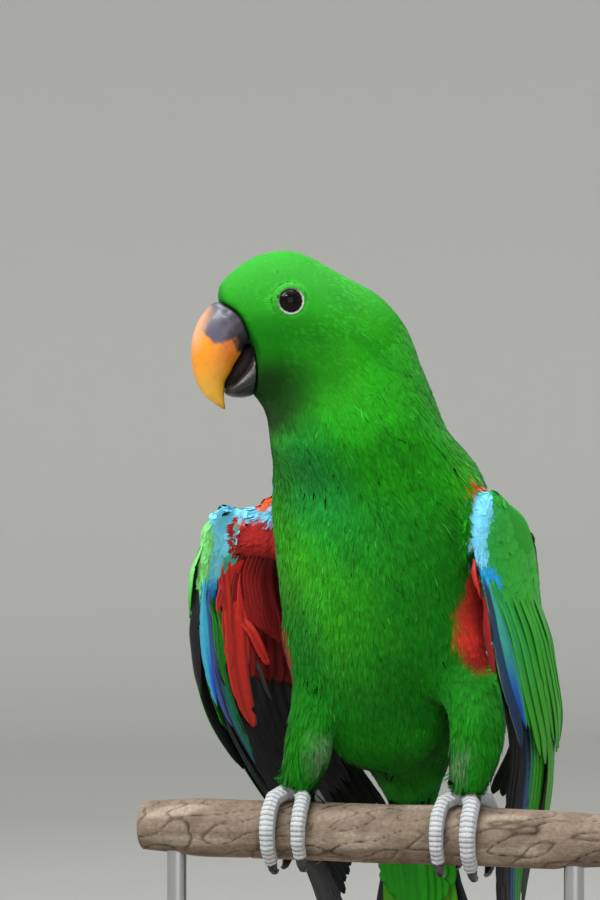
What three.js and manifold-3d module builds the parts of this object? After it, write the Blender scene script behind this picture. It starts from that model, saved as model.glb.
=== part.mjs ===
// A male eclectus parrot at life size, upright on a cut length of branch, with its head turned to its
// right and its wings held loosely away from its sides. A plain stand carries the branch.
// Millimetres, +Z up. The breast faces -Y, the bird's left is +X, and the origin is the middle of the
// stand's underside.

import * as THREE from "three";
import { mergeVertices } from "three/addons/utils/BufferGeometryUtils.js";
import Module from "manifold-3d";

const wasm = await Module();
wasm.setup();

// Driving dimensions
const GAP = 0.3; // left between two pieces that touch
const BASE = { width: 220, depth: 190, height: 12, corner: 40, bevel: 2 };
const PERCH = { height: 150, radius: 12, length: 196, y: -15 };
const ROD = { radius: 4, spread: 84, sunk: 7 };
const FOOT_X = { left: 39, right: -33 };
const NECK = { x: -6.5, y: -22.5 };
const HEAD_SIZE = 0.975; // the head's size beside the rows that draw it
const EYE = { forward: 25.2, height: 199.9, radius: 6.2, side: 15.4, ahead: 3.3, lid: 5.2, rim: 1.1 };
const WING_LENGTH = 238; // from the bend of the wing to the tip of its longest primary
const WING_CURVE = 53; // radius of the wing's bend round the body
const VANE = 0.55; // thickness of a feather's vane

// Colours and finishes
const finish = (color, roughness, metalness = 0) =>
  new THREE.MeshStandardMaterial({ color, roughness, metalness });
const FINISH = {
  green: finish(0x2a9a2c, 0.6),
  wing: finish(0x2f8f4a, 0.55),
  tail: finish(0x2f6f5a, 0.55),
  upperBill: finish(0xf79a1e, 0.3),
  lowerBill: finish(0x26242a, 0.35),
  eye: finish(0x120c0a, 0.05),
  foot: finish(0x8f9096, 0.6),
  claw: finish(0x2b2a2c, 0.35),
  bark: finish(0x8a7562, 0.85),
  wood: finish(0x4a3527, 0.5),
  steel: finish(0x9a9ca0, 0.3, 1),
};

// Points, blends and solids
const vec = (x, y, z) => new THREE.Vector3(x, y, z);
const rad = THREE.MathUtils.degToRad;
const mix = THREE.MathUtils.lerp;
const steps = (from, to, count) => Array.from({ length: count + 1 }, (_, i) => mix(from, to, i / count));

// The smooth curve through evenly spaced rows of numbers, read at a place that is 0 at the first row and
// 1 at the last. Past either end it goes on straight.
function smoothRows(rows, place) {
  const last = rows.length - 1;
  const x = place * last;
  const i = THREE.MathUtils.clamp(Math.floor(x), 0, last - 1);
  const t = THREE.MathUtils.clamp(x - i, 0, 1);
  const past = x - i - t;
  const row = (k) => rows[THREE.MathUtils.clamp(k, 0, last)];
  return rows[0].map((_, j) => {
    const [a, b, c, d] = [row(i - 1)[j], row(i)[j], row(i + 1)[j], row(i + 2)[j]];
    const curve = b + 0.5 * t * (c - a + t * (2 * a - 5 * b + 4 * c - d + t * (3 * (b - c) + d - a)));
    return curve + past * (c - b);
  });
}

function solid(positions, triangles) {
  const build = (order) =>
    new wasm.Manifold(new wasm.Mesh({
      numProp: 3,
      vertProperties: new Float32Array(positions),
      triVerts: new Uint32Array(order),
    }));
  const made = build(triangles);
  return made.volume() > 0 ? made : build([...triangles].reverse());
}

// A three.js geometry, placed by a matrix, as a solid.
function shaped(geometry, matrix = new THREE.Matrix4()) {
  const plain = geometry.index ? geometry.toNonIndexed() : geometry.clone();
  plain.deleteAttribute("normal");
  plain.deleteAttribute("uv");
  const merged = mergeVertices(plain.applyMatrix4(matrix), 1e-3);
  return solid(merged.attributes.position.array, Array.from(merged.index.array));
}

// Rings of points joined into one closed skin, with a fan round the middle of each end ring. A side in
// alike is split the other way, so that both faces of a thin vane are split alike.
function skinRings(rings, alike = []) {
  const count = rings[0].length;
  const middle = (ring) => ring.reduce((sum, p) => sum.add(p), vec(0, 0, 0)).divideScalar(count);
  const points = [...rings.flat(), middle(rings[0]), middle(rings.at(-1))];
  const triangles = [];
  for (let k = 0; k + 1 < rings.length; k++) {
    for (let j = 0; j < count; j++) {
      const [a, b] = [k * count + j, k * count + ((j + 1) % count)];
      const [c, d] = [a + count, b + count];
      triangles.push(...(alike.includes(j) ? [a, b, c, b, d, c] : [a, b, d, a, d, c]));
    }
  }
  const [first, last] = [points.length - 2, points.length - 1];
  const end = (rings.length - 1) * count;
  for (let j = 0; j < count; j++) {
    const next = (j + 1) % count;
    triangles.push(first, next, j, last, end + j, end + next);
  }
  return solid(points.flatMap((p) => p.toArray()), triangles);
}

// A feather's flat, tapering vane. Its root, its tip and half its breadth are lengths on a surface, and place
// turns a point of that surface into a point in space. The vane rises from the root's height to the tip's
// within its first stretch, and its front edge stands higher than its back edge by tilt for each millimetre.
const VANE_SHAPE = [[0, 0.45], [0.25, 0.85], [0.55, 1], [0.82, 0.9], [0.94, 0.6], [1, 0.18]];
function vane(place, { root, tip, half, tilt = 0, bow = 0, thick = VANE, shape = VANE_SHAPE }) {
  const length = Math.hypot(tip[0] - root[0], tip[1] - root[1]);
  const side = [-(tip[1] - root[1]) / length, (tip[0] - root[0]) / length];
  const rings = shape.map(([t, breadth]) => {
    const rise = THREE.MathUtils.smoothstep(t, 0, 0.45);
    const height = mix(root[2], tip[2], rise);
    const bend = bow * Math.sin(Math.PI * t);
    const edge = (across, level) => place(
      mix(root[0], tip[0], t) + side[0] * (across + bend),
      mix(root[1], tip[1], t) + side[1] * (across + bend),
      height - tilt * across + level * thick,
    );
    const w = half * breadth;
    return [edge(w, 0.5), edge(-w, 0.5), edge(-w, -0.5), edge(w, -0.5)];
  });
  return skinRings(rings, [2]);
}
const SHORT_VANE = [[0, 0.55], [0.4, 1], [0.75, 0.95], [0.93, 0.6], [1, 0.2]];

const union = (solids) => wasm.Manifold.union(solids);
const largest = (made) =>
  made.decompose().reduce((best, piece) => (piece.volume() > best.volume() ? piece : best));

// A named mesh of a solid's largest closed surface.
function node(name, made, material) {
  const mesh = largest(made).getMesh();
  const geometry = new THREE.BufferGeometry();
  const positions = new THREE.BufferAttribute(new Float32Array(mesh.vertProperties), 3);
  geometry.setAttribute("position", positions);
  geometry.setIndex(new THREE.BufferAttribute(new Uint32Array(mesh.triVerts), 1));
  geometry.computeVertexNormals();
  const named = new THREE.Mesh(geometry, material);
  named.name = name;
  return named;
}

// A round limb along a smooth path, with its radius running through the given radii.
function limb(points, radii, sides = 12, count = 8) {
  const path = new THREE.CatmullRomCurve3(points, false, "centripetal");
  const frames = path.computeFrenetFrames(count);
  const rings = steps(0, 1, count).map((t, i) => {
    const centre = path.getPointAt(t);
    const [radius] = smoothRows(radii.map((r) => [r]), t);
    return Array.from({ length: sides }, (_, j) => {
      const turn = (2 * Math.PI * j) / sides;
      return centre
        .clone()
        .addScaledVector(frames.normals[i], radius * Math.cos(turn))
        .addScaledVector(frames.binormals[i], radius * Math.sin(turn));
    });
  });
  return skinRings(rings);
}

const ball = (radius, centre, detail = 14) =>
  shaped(new THREE.SphereGeometry(radius, detail, detail / 2), new THREE.Matrix4().setPosition(centre));

// The trunk, from rump to breast. A row holds the turn to the bird's right, the place of the row's upright
// axis, how far forward of that axis and how high above the perch the belly and then the back lie, and half
// the breadth.
const TRUNK = [
  [0, 0, 0, -27, -6, -47, 7, 12],
  [0, 0, 0, -14, 7, -54, 31, 20],
  [0, 0, 0, 6, 18, -54, 55, 31],
  [0, 0, 0, 24, 37, -49, 78, 39],
  [0, 0, 0, 36, 62, -41, 99, 43],
  [0, 0, 0, 41, 87, -32, 116, 43.5],
  [0, 1, 0, 41, 108, -24, 131, 46.5],
  [8, 0, 0, 42, 126, -20, 144, 43],
  [20, -2.5, -11, 38, 133, -30, 149, 39.5],
];

// The neck and head. A row holds the turn, how far forward of the eye and how high above it the throat and
// then the crown lie, and half the breadth.
const HEAD = [
  [36, 6.5, -62, -64, -48, 37],
  [49, 8, -57, -58, -35, 34],
  [58, 8.5, -50, -52, -21, 29.5],
  [58, 10, -44, -43, -6, 26.5],
  [58, 12.5, -40.5, -30, 6.5, 24],
  [58, 14.5, -38.5, -16, 15.5, 22],
  [58, 16, -37.6, -2, 20.6, 20],
  [58, 16.4, -37.2, 11, 19.3, 17.5],
  [58, 16.6, -36.8, 22, 14, 14.5],
  [58, 16.8, -36.4, 29, 7.5, 12.3],
  [58, 17, -36, 32.6, 0, 10],
];
const HEAD_TURN = HEAD.at(-1)[0];
const BODY = [
  ...TRUNK,
  ...HEAD.map(([turn, f0, u0, f1, u1, half]) => [
    turn, NECK.x, NECK.y,
    HEAD_SIZE * f0 + EYE.forward, HEAD_SIZE * u0 + EYE.height,
    HEAD_SIZE * f1 + EYE.forward, HEAD_SIZE * u1 + EYE.height, half,
  ]),
];
const row = (index) => index / (BODY.length - 1);
const CUT = { neck: row(8.4), head: row(11.2) }; // where the neck and the head begin
const CUT_GAP = row(0.014);

const facing = (turn) => vec(-Math.sin(rad(turn)), -Math.cos(rad(turn)), 0);
const leftOf = (turn) => vec(Math.cos(rad(turn)), -Math.sin(rad(turn)), 0);

// One oval ring of the body's skin, larger all round by grow.
function bodyRing(place, grow, sides) {
  const [turn, x, y, bellyForward, bellyUp, backForward, backUp, half] = smoothRows(BODY, place);
  const ahead = facing(turn);
  const belly = vec(x, y, PERCH.height + bellyUp).addScaledVector(ahead, bellyForward);
  const back = vec(x, y, PERCH.height + backUp).addScaledVector(ahead, backForward);
  const centre = belly.clone().lerp(back, 0.5);
  const reach = back.clone().sub(belly).multiplyScalar(0.5);
  reach.setLength(reach.length() + grow);
  const across = leftOf(turn).multiplyScalar(half + grow);
  return Array.from({ length: sides }, (_, j) => {
    const angle = (2 * Math.PI * j) / sides - rad(turn);
    return centre
      .clone()
      .addScaledVector(reach, Math.cos(angle))
      .addScaledVector(across, Math.sin(angle));
  });
}

const bodySkin = (from, to, grow = 0, sides = 28, perRow = 2) =>
  skinRings(steps(from, to, Math.round((to - from) / row(1 / perRow)))
    .map((place) => bodyRing(place, grow, sides)));

// A point of the head, as the rows draw it: forward, up, and to the bird's left of the middle.
function headPoint(forward, up, left = 0) {
  return vec(NECK.x, NECK.y, PERCH.height + EYE.height + HEAD_SIZE * up)
    .addScaledVector(facing(HEAD_TURN), HEAD_SIZE * forward + EYE.forward)
    .addScaledVector(leftOf(HEAD_TURN), left);
}
const headFrame = () =>
  new THREE.Matrix4()
    .makeBasis(facing(HEAD_TURN), vec(0, 0, 1), leftOf(HEAD_TURN).negate())
    .setPosition(headPoint(0, 0));

// All that lies ahead of the edge where the feathers meet the bill, moved forward and down by shift.
const BILL_EDGE = [
  [29.3, 8], [29, 1], [27.5, -1.4], [24.5, -3.3], [21.9, -6.2], [20.3, -9.1], [18.4, -13],
  [16.6, -17], [15.2, -20], [14.9, -24], [15, -31], [15.2, -45],
];
function billRoom(shift) {
  const reach = 70;
  const edge = BILL_EDGE.map(([f, u]) => new THREE.Vector2(HEAD_SIZE * f + shift, HEAD_SIZE * u - shift));
  const shape = new THREE.Shape([...edge, new THREE.Vector2(reach, edge.at(-1).y),
    new THREE.Vector2(reach, edge[0].y)]);
  const slab = new THREE.ExtrudeGeometry(shape, { depth: reach, bevelEnabled: false });
  return shaped(slab.translate(0, 0, -reach / 2), headFrame());
}

// The bill. A row holds where its top and then its bottom edge lie from the eye, and half its breadth.
const UPPER_BILL = [
  [20, 2, 8, -14, 11],
  [29.5, 1, 17.7, -16.8, 10.8],
  [35.3, -4.3, 19, -19.4, 10.2],
  [38.7, -10.4, 20.6, -22.3, 9.6],
  [40.3, -17, 22.6, -25.2, 8.8],
  [40.2, -24.5, 24.2, -29.2, 7.6],
  [38.4, -32, 26.3, -31.5, 5.8],
  [34.3, -38.7, 26.8, -36, 3.6],
  [29.1, -42.3, 26.9, -40, 1.8],
  [26.4, -43.9, 26, -43.2, 0.5],
];
const LOWER_BILL = [
  [8, -14, 8, -38, 10],
  [14.6, -18.8, 15.5, -38.2, 9.5],
  [17.6, -24.4, 19, -38.8, 8.8],
  [20.8, -29.2, 23, -38.6, 7.5],
  [23.6, -32.6, 25.4, -37.8, 5.8],
  [26, -33.2, 26.4, -36.8, 3.5],
];
function billSkin(rows, count, sides = 16) {
  const rings = steps(0, 1, count).map((place) => {
    const [topForward, topUp, bottomForward, bottomUp, half] = smoothRows(rows, place);
    return Array.from({ length: sides }, (_, j) => {
      const angle = (2 * Math.PI * j) / sides;
      const share = (1 - Math.cos(angle)) / 2;
      const forward = mix(topForward, bottomForward, share);
      return headPoint(forward, mix(topUp, bottomUp, share), half * Math.sin(angle));
    });
  });
  return skinRings(rings);
}

function makeHead() {
  const sockets = [];
  const lids = [];
  const eyes = [];
  for (const [name, side] of [["left", 1], ["right", -1]]) {
    const centre = headPoint(EYE.ahead, 0, side * EYE.side);
    const lidOut = Math.sqrt(EYE.radius ** 2 - (EYE.lid - EYE.rim / 2) ** 2);
    const place = headFrame().setPosition(headPoint(EYE.ahead, 0, side * (EYE.side + lidOut)));
    sockets.push(ball(EYE.radius + GAP, centre, 16));
    lids.push(shaped(new THREE.TorusGeometry(EYE.lid, EYE.rim, 5, 16), place));
    eyes.push(node(`eye_${name}`, ball(EYE.radius, centre, 14), FINISH.eye));
  }
  const skull = bodySkin(CUT.head + CUT_GAP, 1, 0, 28, 2.5).subtract(billRoom(0));
  const head = union([skull, ...lids]).subtract(union(sockets));
  const upper = billSkin(UPPER_BILL, 13).intersect(billRoom(GAP));
  const nostrils = [-1, 1].map((side) => ball(1.5, headPoint(27.2, -4.2, side * 9), 8));
  const lower = billSkin(LOWER_BILL, 8).intersect(billRoom(GAP));
  return [
    node("head", head, FINISH.green),
    node("bill_upper", upper.subtract(union(nostrils)), FINISH.upperBill),
    node("bill_lower", lower, FINISH.lowerBill),
    ...eyes,
  ];
}

// The legs. Each thigh is a drop of feathers from the flank to the perch, and each foot grips the perch with
// two toes ahead and two behind.
const THIGH = {
  left: [[28, -4, 60, 8], [37, -13, 46, 10.5], [43.5, -19, 32, 11], [43.5, -19, 17, 10], [40, -16, 6, 7.5]],
  right: [[-17, -4, 60, 8], [-20, -13, 46, 11], [-22.5, -19, 32, 11.5], [-26, -19, 17, 10.5], [-32, -16, 6, 7.5]],
};
const TOES = [
  { name: "inner_front", ahead: 1, spread: -7, bend: 128, radius: 3.3 },
  { name: "outer_front", ahead: 1, spread: 6, bend: 138, radius: 3.6 },
  { name: "inner_back", ahead: -1, spread: -6, bend: 118, radius: 3.2 },
  { name: "outer_back", ahead: -1, spread: 7, bend: 132, radius: 3.5 },
];
const CLAW_BEND = 34;

// A point beside the perch: turned ahead by an angle from its top, and out from its surface.
const roundPerch = (x, angle, out) =>
  vec(x, PERCH.y - Math.sin(rad(angle)) * (PERCH.radius + out),
    PERCH.height - PERCH.radius + Math.cos(rad(angle)) * (PERCH.radius + out));

function makeLeg(name, outward, trunk) {
  const thighRows = THIGH[name];
  const thigh = limb(
    thighRows.map(([x, y, up]) => vec(x, y, PERCH.height + up)),
    thighRows.map((entry) => entry[3]), 14, 8,
  );
  const x = FOOT_X[name];
  const top = vec(x, PERCH.y, PERCH.height + 12);
  const pieces = [limb([top, vec(x, PERCH.y, PERCH.height + 4.6)], [4.6, 4.4], 12, 3)];
  const claws = [];
  for (const toe of TOES) {
    const side = x + outward * toe.spread;
    const angles = steps(-12, toe.bend, 6);
    const path = angles.map((angle, i) => roundPerch(mix(x, side, Math.min(1, i / 2)),
      toe.ahead * angle, toe.radius + GAP));
    pieces.push(limb(path, [toe.radius, toe.radius, toe.radius * 0.96, toe.radius * 0.84], 7, 6));
    const start = toe.bend + 1.5;
    const clawPath = steps(start, start + CLAW_BEND, 4).map((angle, i) =>
      roundPerch(side, toe.ahead * angle, toe.radius + GAP + [0, 1.2, 1.6, 1.1, 0][i]));
    const claw = limb(clawPath, [2.4, 2.1, 1.6, 1, 0.35], 6, 4);
    claws.push({ name: `claw_${name}_${toe.name}`, claw });
  }
  const foot = union(pieces);
  const footRoom = limb([vec(x, PERCH.y, PERCH.height + 14), vec(x, PERCH.y, PERCH.height - 2)],
    [4.6 + GAP, 4.6 + GAP], 12, 3);
  return [
    node(`thigh_${name}`, thigh.subtract(trunk).subtract(union([foot, footRoom])), FINISH.green),
    node(`foot_${name}`, foot, FINISH.foot),
    ...claws.map((entry) => node(entry.name, entry.claw.subtract(foot), FINISH.claw)),
  ];
}

// The wings. A row holds a place on the leading edge, as x, y and height above the perch, then how far the
// wing there leans outwards as it goes back, how broad it is, and how fast it drops as it goes back. The
// rows are evenly spaced from the bend of the wing to its tip.
const WINGS = {
  left: {
    side: 1,
    shoulder: [30, 6, 112],
    rows: [
      [44.5, -22, 128, 36, 60, 0.4], [44, -22, 102, 38, 80, 0.4], [49.5, -18, 75.5, 34, 86, 0.4],
      [53, -12, 49, 31, 86, 0.35], [54, 1, 23, 23, 80, 0.3], [48, 12.5, -2, 22, 70, 0.25],
      [41, 23, -25.5, 16, 56, 0.2], [39, 31, -49, 10, 40, 0.1], [37, 39, -73, 4, 27, 0], [35, 46, -97, 0, 12, 0],
    ],
  },
  right: {
    side: -1,
    shoulder: [-28, 6, 108],
    rows: [
      [-63, -23, 120, 8, 60, 0.3], [-70.5, -21, 95, 11, 80, 0.35], [-73.5, -16, 68, 12, 86, 0.35],
      [-71.5, -9, 41, 12, 86, 0.35], [-65, 4, 16, 12, 80, 0.3], [-55.5, 15, -6.5, 12, 70, 0.25],
      [-47, 24, -28.5, 10, 56, 0.2], [-42, 32, -51, 6, 40, 0.1], [-38, 39, -74, 3, 27, 0], [-35, 46, -97, 0, 12, 0],
    ],
  },
};

// A point of a wing: along it from the bend, back from its leading edge, and out from its middle layer.
function wingPoint(wing, along, behind, out) {
  const [x, y, up, lean, , drop] = smoothRows(wing.rows, along / WING_LENGTH);
  const start = rad(lean);
  const here = start - behind / WING_CURVE;
  const outward = WING_CURVE * (Math.cos(here) - Math.cos(start)) + out * Math.cos(here);
  const back = WING_CURVE * (Math.sin(start) - Math.sin(here)) - out * Math.sin(here);
  return vec(x + wing.side * outward, y + back, PERCH.height + up - drop * behind);
}
const wingWidth = (wing, along) => smoothRows(wing.rows, along / WING_LENGTH)[4];

// The fleshy part of the wing with its smallest feathers, which all the vanes grow from.
const WING_CORE = { length: 74, outer: 6.6, inner: -5 };
function wingCore(wing) {
  const shares = [0, 0.12, 0.35, 0.65, 0.88, 1];
  const thick = [0, 0.75, 1, 0.85, 0.6, 0.25];
  const rings = [-3, 1, 7, ...steps(16, WING_CORE.length, 4)].map((along) => {
    const round = Math.sqrt(Math.min(1, (along + 4) / 20));
    const width = wingWidth(wing, along) * mix(0.65, 0.93, round);
    const near = 14 * (1 - round);
    const thin = mix(1, 0.7, THREE.MathUtils.smoothstep(along, 25, WING_CORE.length));
    const place = (share, out) => wingPoint(wing, along, mix(near, width, share), out * round * thin);
    const outer = shares.map((share, i) => place(share, WING_CORE.outer * thick[i]));
    const inner = shares.slice(1).reverse().map((share, i) => place(share, WING_CORE.inner * thick[5 - i]));
    return [...outer, ...inner];
  });
  return skinRings(rings);
}

// The wing's feathers in tiers, each with a count and the vane at a share t of the way from the front of the
// wing to its back. Places are millimetres along the wing, back from its leading edge and outwards.
const peak = (t) => WING_LENGTH - (t < 0.3 ? 300 : 85) * (t - 0.3) ** 2;
const TIERS = {
  primaries: [7, (t) => ({
    root: [60 - 8 * t, 5 + 15 * t, -4 + 6.3 * t], tip: [peak(t), 5 + 23 * t, -4.6 + 6.3 * t],
    half: 6.4, tilt: 0.02,
  })],
  secondaries: [7, (t) => ({
    root: [44 - 8 * t, 18 + 46 * t, 3.2 - 2 * t], tip: [176 - 58 * t - 8 * t * t, 33 + 42 * t, 4 - 1.9 * t],
    half: 6.2, tilt: 0.16,
  })],
  greaterCoverts: [6, (t) => ({
    root: [34 - 8 * t, 17 + 46 * t, 3.2], tip: [103 - 28 * t, 22 + 50 * t, 6 - 1.9 * t],
    half: 7, tilt: 0.15, shape: SHORT_VANE,
  })],
  primaryCoverts: [3, (t) => ({
    root: [42 - 8 * t, 3 + 10 * t, 0.4 + 2.4 * t], tip: [128 - 16 * t, 6 + 12 * t, 2 + 1.6 * t],
    half: 5.6, tilt: 0.12, shape: SHORT_VANE,
  })],
  alula: [3, (t) => ({
    root: [24 - 6 * t, 4 + 7 * t, 2.4 + 1.4 * t], tip: [84 - 18 * t, 4 + 9 * t, 4.2 + 1.6 * t],
    half: 4.4, tilt: 0.1, shape: SHORT_VANE,
  })],
  medianCoverts: [6, (t) => ({
    root: [20 - 6 * t, 14 + 46 * t, 4.4 - 0.8 * t], tip: [64 - 15 * t, 15 + 53 * t, 8 - 1.9 * t],
    half: 7, tilt: 0.15, shape: SHORT_VANE,
  })],
  underCoverts: [5, (t) => ({
    root: [40 - 8 * t, 13 + 47 * t, -3.4], tip: [126 - 36 * t, 17 + 54 * t, -6.8 + 2 * t],
    half: 8, tilt: 0.12, shape: SHORT_VANE,
  })],
};

// The inner under-wing feathers nearest the body, which hang free of the others on both wings.
const AXILLARIES = [
  { root: [34, 46, -2], tip: [122, 40, -8], half: 5.5, shape: SHORT_VANE },
  { root: [30, 38, -2], tip: [104, 30, -9.4], half: 5, shape: SHORT_VANE },
];

function makeWing(name, trunk) {
  const wing = WINGS[name];
  const [x, y, up] = wing.shoulder;
  const joint = [vec(x, y, PERCH.height + up), wingPoint(wing, 12, 20, -3)];
  const arm = (grow) => limb(joint, [13, 11.5, 8].map((radius) => radius + grow), 12, 3);
  const place = (along, behind, out) => wingPoint(wing, along, behind, out);
  const pieces = [wingCore(wing), ...AXILLARIES.map((feather) => vane(place, feather))];
  for (const [count, shape] of Object.values(TIERS)) {
    for (const t of steps(0, 1, count - 1)) pieces.push(vane(place, shape(t)));
  }
  const blade = union(pieces).subtract(arm(GAP).add(trunk));
  return [
    node(`wing_${name}`, blade, FINISH.wing),
    node(`shoulder_${name}`, arm(0).subtract(trunk), FINISH.green),
  ];
}

// The tail hangs down and a little back from the rump.
const TAIL = { length: 128, root: [39, -4], tip: [72, -127], half: 12 };
function tailPoint(along, across, out) {
  const share = along / TAIL.length;
  const down = vec(0, TAIL.tip[0] - TAIL.root[0], TAIL.tip[1] - TAIL.root[1]).normalize();
  const outward = vec(0, -down.z, down.y);
  return vec(across, TAIL.root[0], PERCH.height + TAIL.root[1])
    .addScaledVector(down, share * TAIL.length)
    .addScaledVector(outward, out);
}
// The tail feathers lie in a shallow roof, the middle pair on top. Coverts hide their roots on both faces.
const TAIL_PAIRS = 5;
function makeTail(trunk) {
  const core = skinRings(steps(-4, 30, 4).map((along) => {
    const bulk = mix(8, 3, Math.max(0, along) / 30);
    return Array.from({ length: 10 }, (_, j) => {
      const angle = (Math.PI * j) / 5;
      return tailPoint(along, mix(TAIL.half, 14, along / 30) * Math.cos(angle), bulk * Math.sin(angle));
    });
  }));
  const pieces = [core];
  for (let i = 0; i < TAIL_PAIRS; i++) {
    for (const side of [1, -1]) {
      const level = i ? 2.6 - 0.9 * i : 2.6 - 0.45 * (1 - side);
      pieces.push(vane(tailPoint, {
        root: [14, side * (1 + 1.9 * i), level], tip: [TAIL.length - 0.8 * i * i, side * (3.5 + 5.4 * i), level],
        half: 7.4,
      }));
    }
  }
  for (const [face, reach, height, fall] of [[1, 56, 5, 1.8], [-1, 74, 3.9, 1.7]]) {
    for (const t of steps(-1, 1, 2)) {
      pieces.push(vane(tailPoint, {
        root: [4, 7 * t, face * 3], tip: [reach - 12 * t * t, 12 * t, face * (height - fall * Math.abs(t))],
        half: 8.6, shape: SHORT_VANE,
      }));
    }
  }
  return node("tail", union(pieces).subtract(trunk), FINISH.tail);
}

// The cut branch and its stand.
function makeStand() {
  const { width, depth, height, corner, bevel } = BASE;
  const outline = new THREE.Shape();
  const [w, d] = [width / 2 - bevel, depth / 2 - bevel];
  outline.moveTo(-w + corner, -d);
  outline.lineTo(w - corner, -d);
  outline.absarc(w - corner, -d + corner, corner, -Math.PI / 2, 0);
  outline.lineTo(w, d - corner);
  outline.absarc(w - corner, d - corner, corner, 0, Math.PI / 2);
  outline.lineTo(-w + corner, d);
  outline.absarc(-w + corner, d - corner, corner, Math.PI / 2, Math.PI);
  outline.lineTo(-w, -d + corner);
  outline.absarc(-w + corner, -d + corner, corner, Math.PI, 1.5 * Math.PI);
  const plate = new THREE.ExtrudeGeometry(outline, {
    depth: height - 2 * bevel, bevelSize: bevel, bevelThickness: bevel, bevelSegments: 1, curveSegments: 4,
  });
  let base = shaped(plate.translate(0, 0, bevel));

  const knots = [0.96, 0.99, 0.97, 1, 1, 0.99, 1, 0.97, 0.99, 0.96];
  const length = PERCH.length;
  const rings = steps(-length / 2, length / 2, 9).map((x, i) => {
    const edge = i % 9 ? 1 : 0.9;
    const radius = PERCH.radius * edge * knots[i];
    return Array.from({ length: 14 }, (_, j) => {
      const angle = (Math.PI * j) / 7;
      return vec(x, PERCH.y + radius * Math.cos(angle), PERCH.height - PERCH.radius + radius * Math.sin(angle));
    });
  });
  let perch = skinRings(rings);

  const bottom = height - ROD.sunk;
  const top = PERCH.height - 2 * PERCH.radius + ROD.sunk;
  const post = (x, radius, from, to) =>
    shaped(new THREE.CylinderGeometry(radius, radius, to - from, 16).rotateX(Math.PI / 2)
      .translate(x, PERCH.y, (from + to) / 2));
  const rods = [];
  for (const [name, side] of [["left", 1], ["right", -1]]) {
    const x = side * ROD.spread;
    const room = post(x, ROD.radius + GAP, bottom, top);
    base = base.subtract(room);
    perch = perch.subtract(room);
    rods.push(node(`stand_rod_${name}`, post(x, ROD.radius, bottom + GAP, top - GAP), FINISH.steel));
  }
  return [node("stand_base", base, FINISH.wood), node("perch", perch, FINISH.bark), ...rods];
}

const bird = new THREE.Group();
const roomOfTrunk = bodySkin(0, CUT.neck, GAP);
const roomOfRump = roomOfTrunk.add(roomOfTrunk.translate([0, 0.1, -GAP]));
bird.add(
  ...makeHead(),
  node("neck", bodySkin(CUT.neck + CUT_GAP, CUT.head - CUT_GAP), FINISH.green),
  node("torso", bodySkin(0, CUT.neck - CUT_GAP, 0, 28, 1.75), FINISH.green),
  ...makeLeg("left", 1, roomOfTrunk),
  ...makeLeg("right", -1, roomOfTrunk),
  ...makeWing("left", roomOfTrunk),
  ...makeWing("right", roomOfTrunk),
  makeTail(roomOfRump),
  ...makeStand(),
);

export default bird;
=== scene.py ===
# %% [markdown]
# # A male eclectus parrot on its perch
# The bird stands upright on a cut length of branch, its head turned to its right and its wings held a
# little away from its sides. The solids in the frame give its true size and outline. This lesson dresses
# them: one skin under the whole body, small feathers laid over it along the way they grow, large feathers
# set one by one on the wings and the tail, and a bill, eyes and feet made smooth and finished.

# %% Load the frame
import math

import bpy
import numpy as np
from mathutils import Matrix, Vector
from mathutils.bvhtree import BVHTree
from mathutils.kdtree import KDTree


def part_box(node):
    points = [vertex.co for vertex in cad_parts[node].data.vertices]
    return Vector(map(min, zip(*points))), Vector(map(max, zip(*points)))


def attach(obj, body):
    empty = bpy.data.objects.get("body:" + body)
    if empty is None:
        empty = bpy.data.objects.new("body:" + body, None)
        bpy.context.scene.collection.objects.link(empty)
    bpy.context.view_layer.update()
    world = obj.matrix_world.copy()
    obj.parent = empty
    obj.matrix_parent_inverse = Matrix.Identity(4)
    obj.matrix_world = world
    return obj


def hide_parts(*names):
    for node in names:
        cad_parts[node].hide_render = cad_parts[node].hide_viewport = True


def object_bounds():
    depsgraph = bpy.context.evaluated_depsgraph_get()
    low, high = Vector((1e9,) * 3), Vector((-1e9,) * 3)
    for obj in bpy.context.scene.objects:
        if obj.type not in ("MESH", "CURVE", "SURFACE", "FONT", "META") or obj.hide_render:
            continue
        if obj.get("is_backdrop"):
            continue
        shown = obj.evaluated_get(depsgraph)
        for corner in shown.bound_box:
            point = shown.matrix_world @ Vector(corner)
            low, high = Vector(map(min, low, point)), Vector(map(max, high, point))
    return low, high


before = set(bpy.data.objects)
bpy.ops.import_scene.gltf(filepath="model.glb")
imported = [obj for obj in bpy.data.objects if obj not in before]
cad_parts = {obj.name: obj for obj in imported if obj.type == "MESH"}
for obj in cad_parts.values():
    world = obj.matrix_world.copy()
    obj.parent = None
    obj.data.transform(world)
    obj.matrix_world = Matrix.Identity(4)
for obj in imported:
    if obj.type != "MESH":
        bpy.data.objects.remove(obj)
cad_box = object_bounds()
bpy.ops.object.select_all(action="DESELECT")
MM = 0.001
random = np.random.default_rng(11)
print("CAD box in mm:", [[round(v / MM, 1) for v in corner] for corner in cad_box])

# %% [markdown]
# ## Camera, floor and light
# The photograph looks level at the bird's head from 20 degrees to its left, from far enough away that it
# is hardly in perspective. The floor curves up into a pale wall all round, like a studio's paper sweep. It
# is one profile spun about the upright axis.

# %% Camera
VIEW_TURN = math.radians(20)
VIEW_DISTANCE = 1600 * MM
VIEW_RIGHT = Vector((math.cos(VIEW_TURN), math.sin(VIEW_TURN), 0))
VIEW_TOWARDS = Vector((math.sin(VIEW_TURN), -math.cos(VIEW_TURN), 0))
VIEW_TARGET = VIEW_RIGHT * (-33.9 * MM) + Vector((0, 0, 291.3 * MM))

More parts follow.
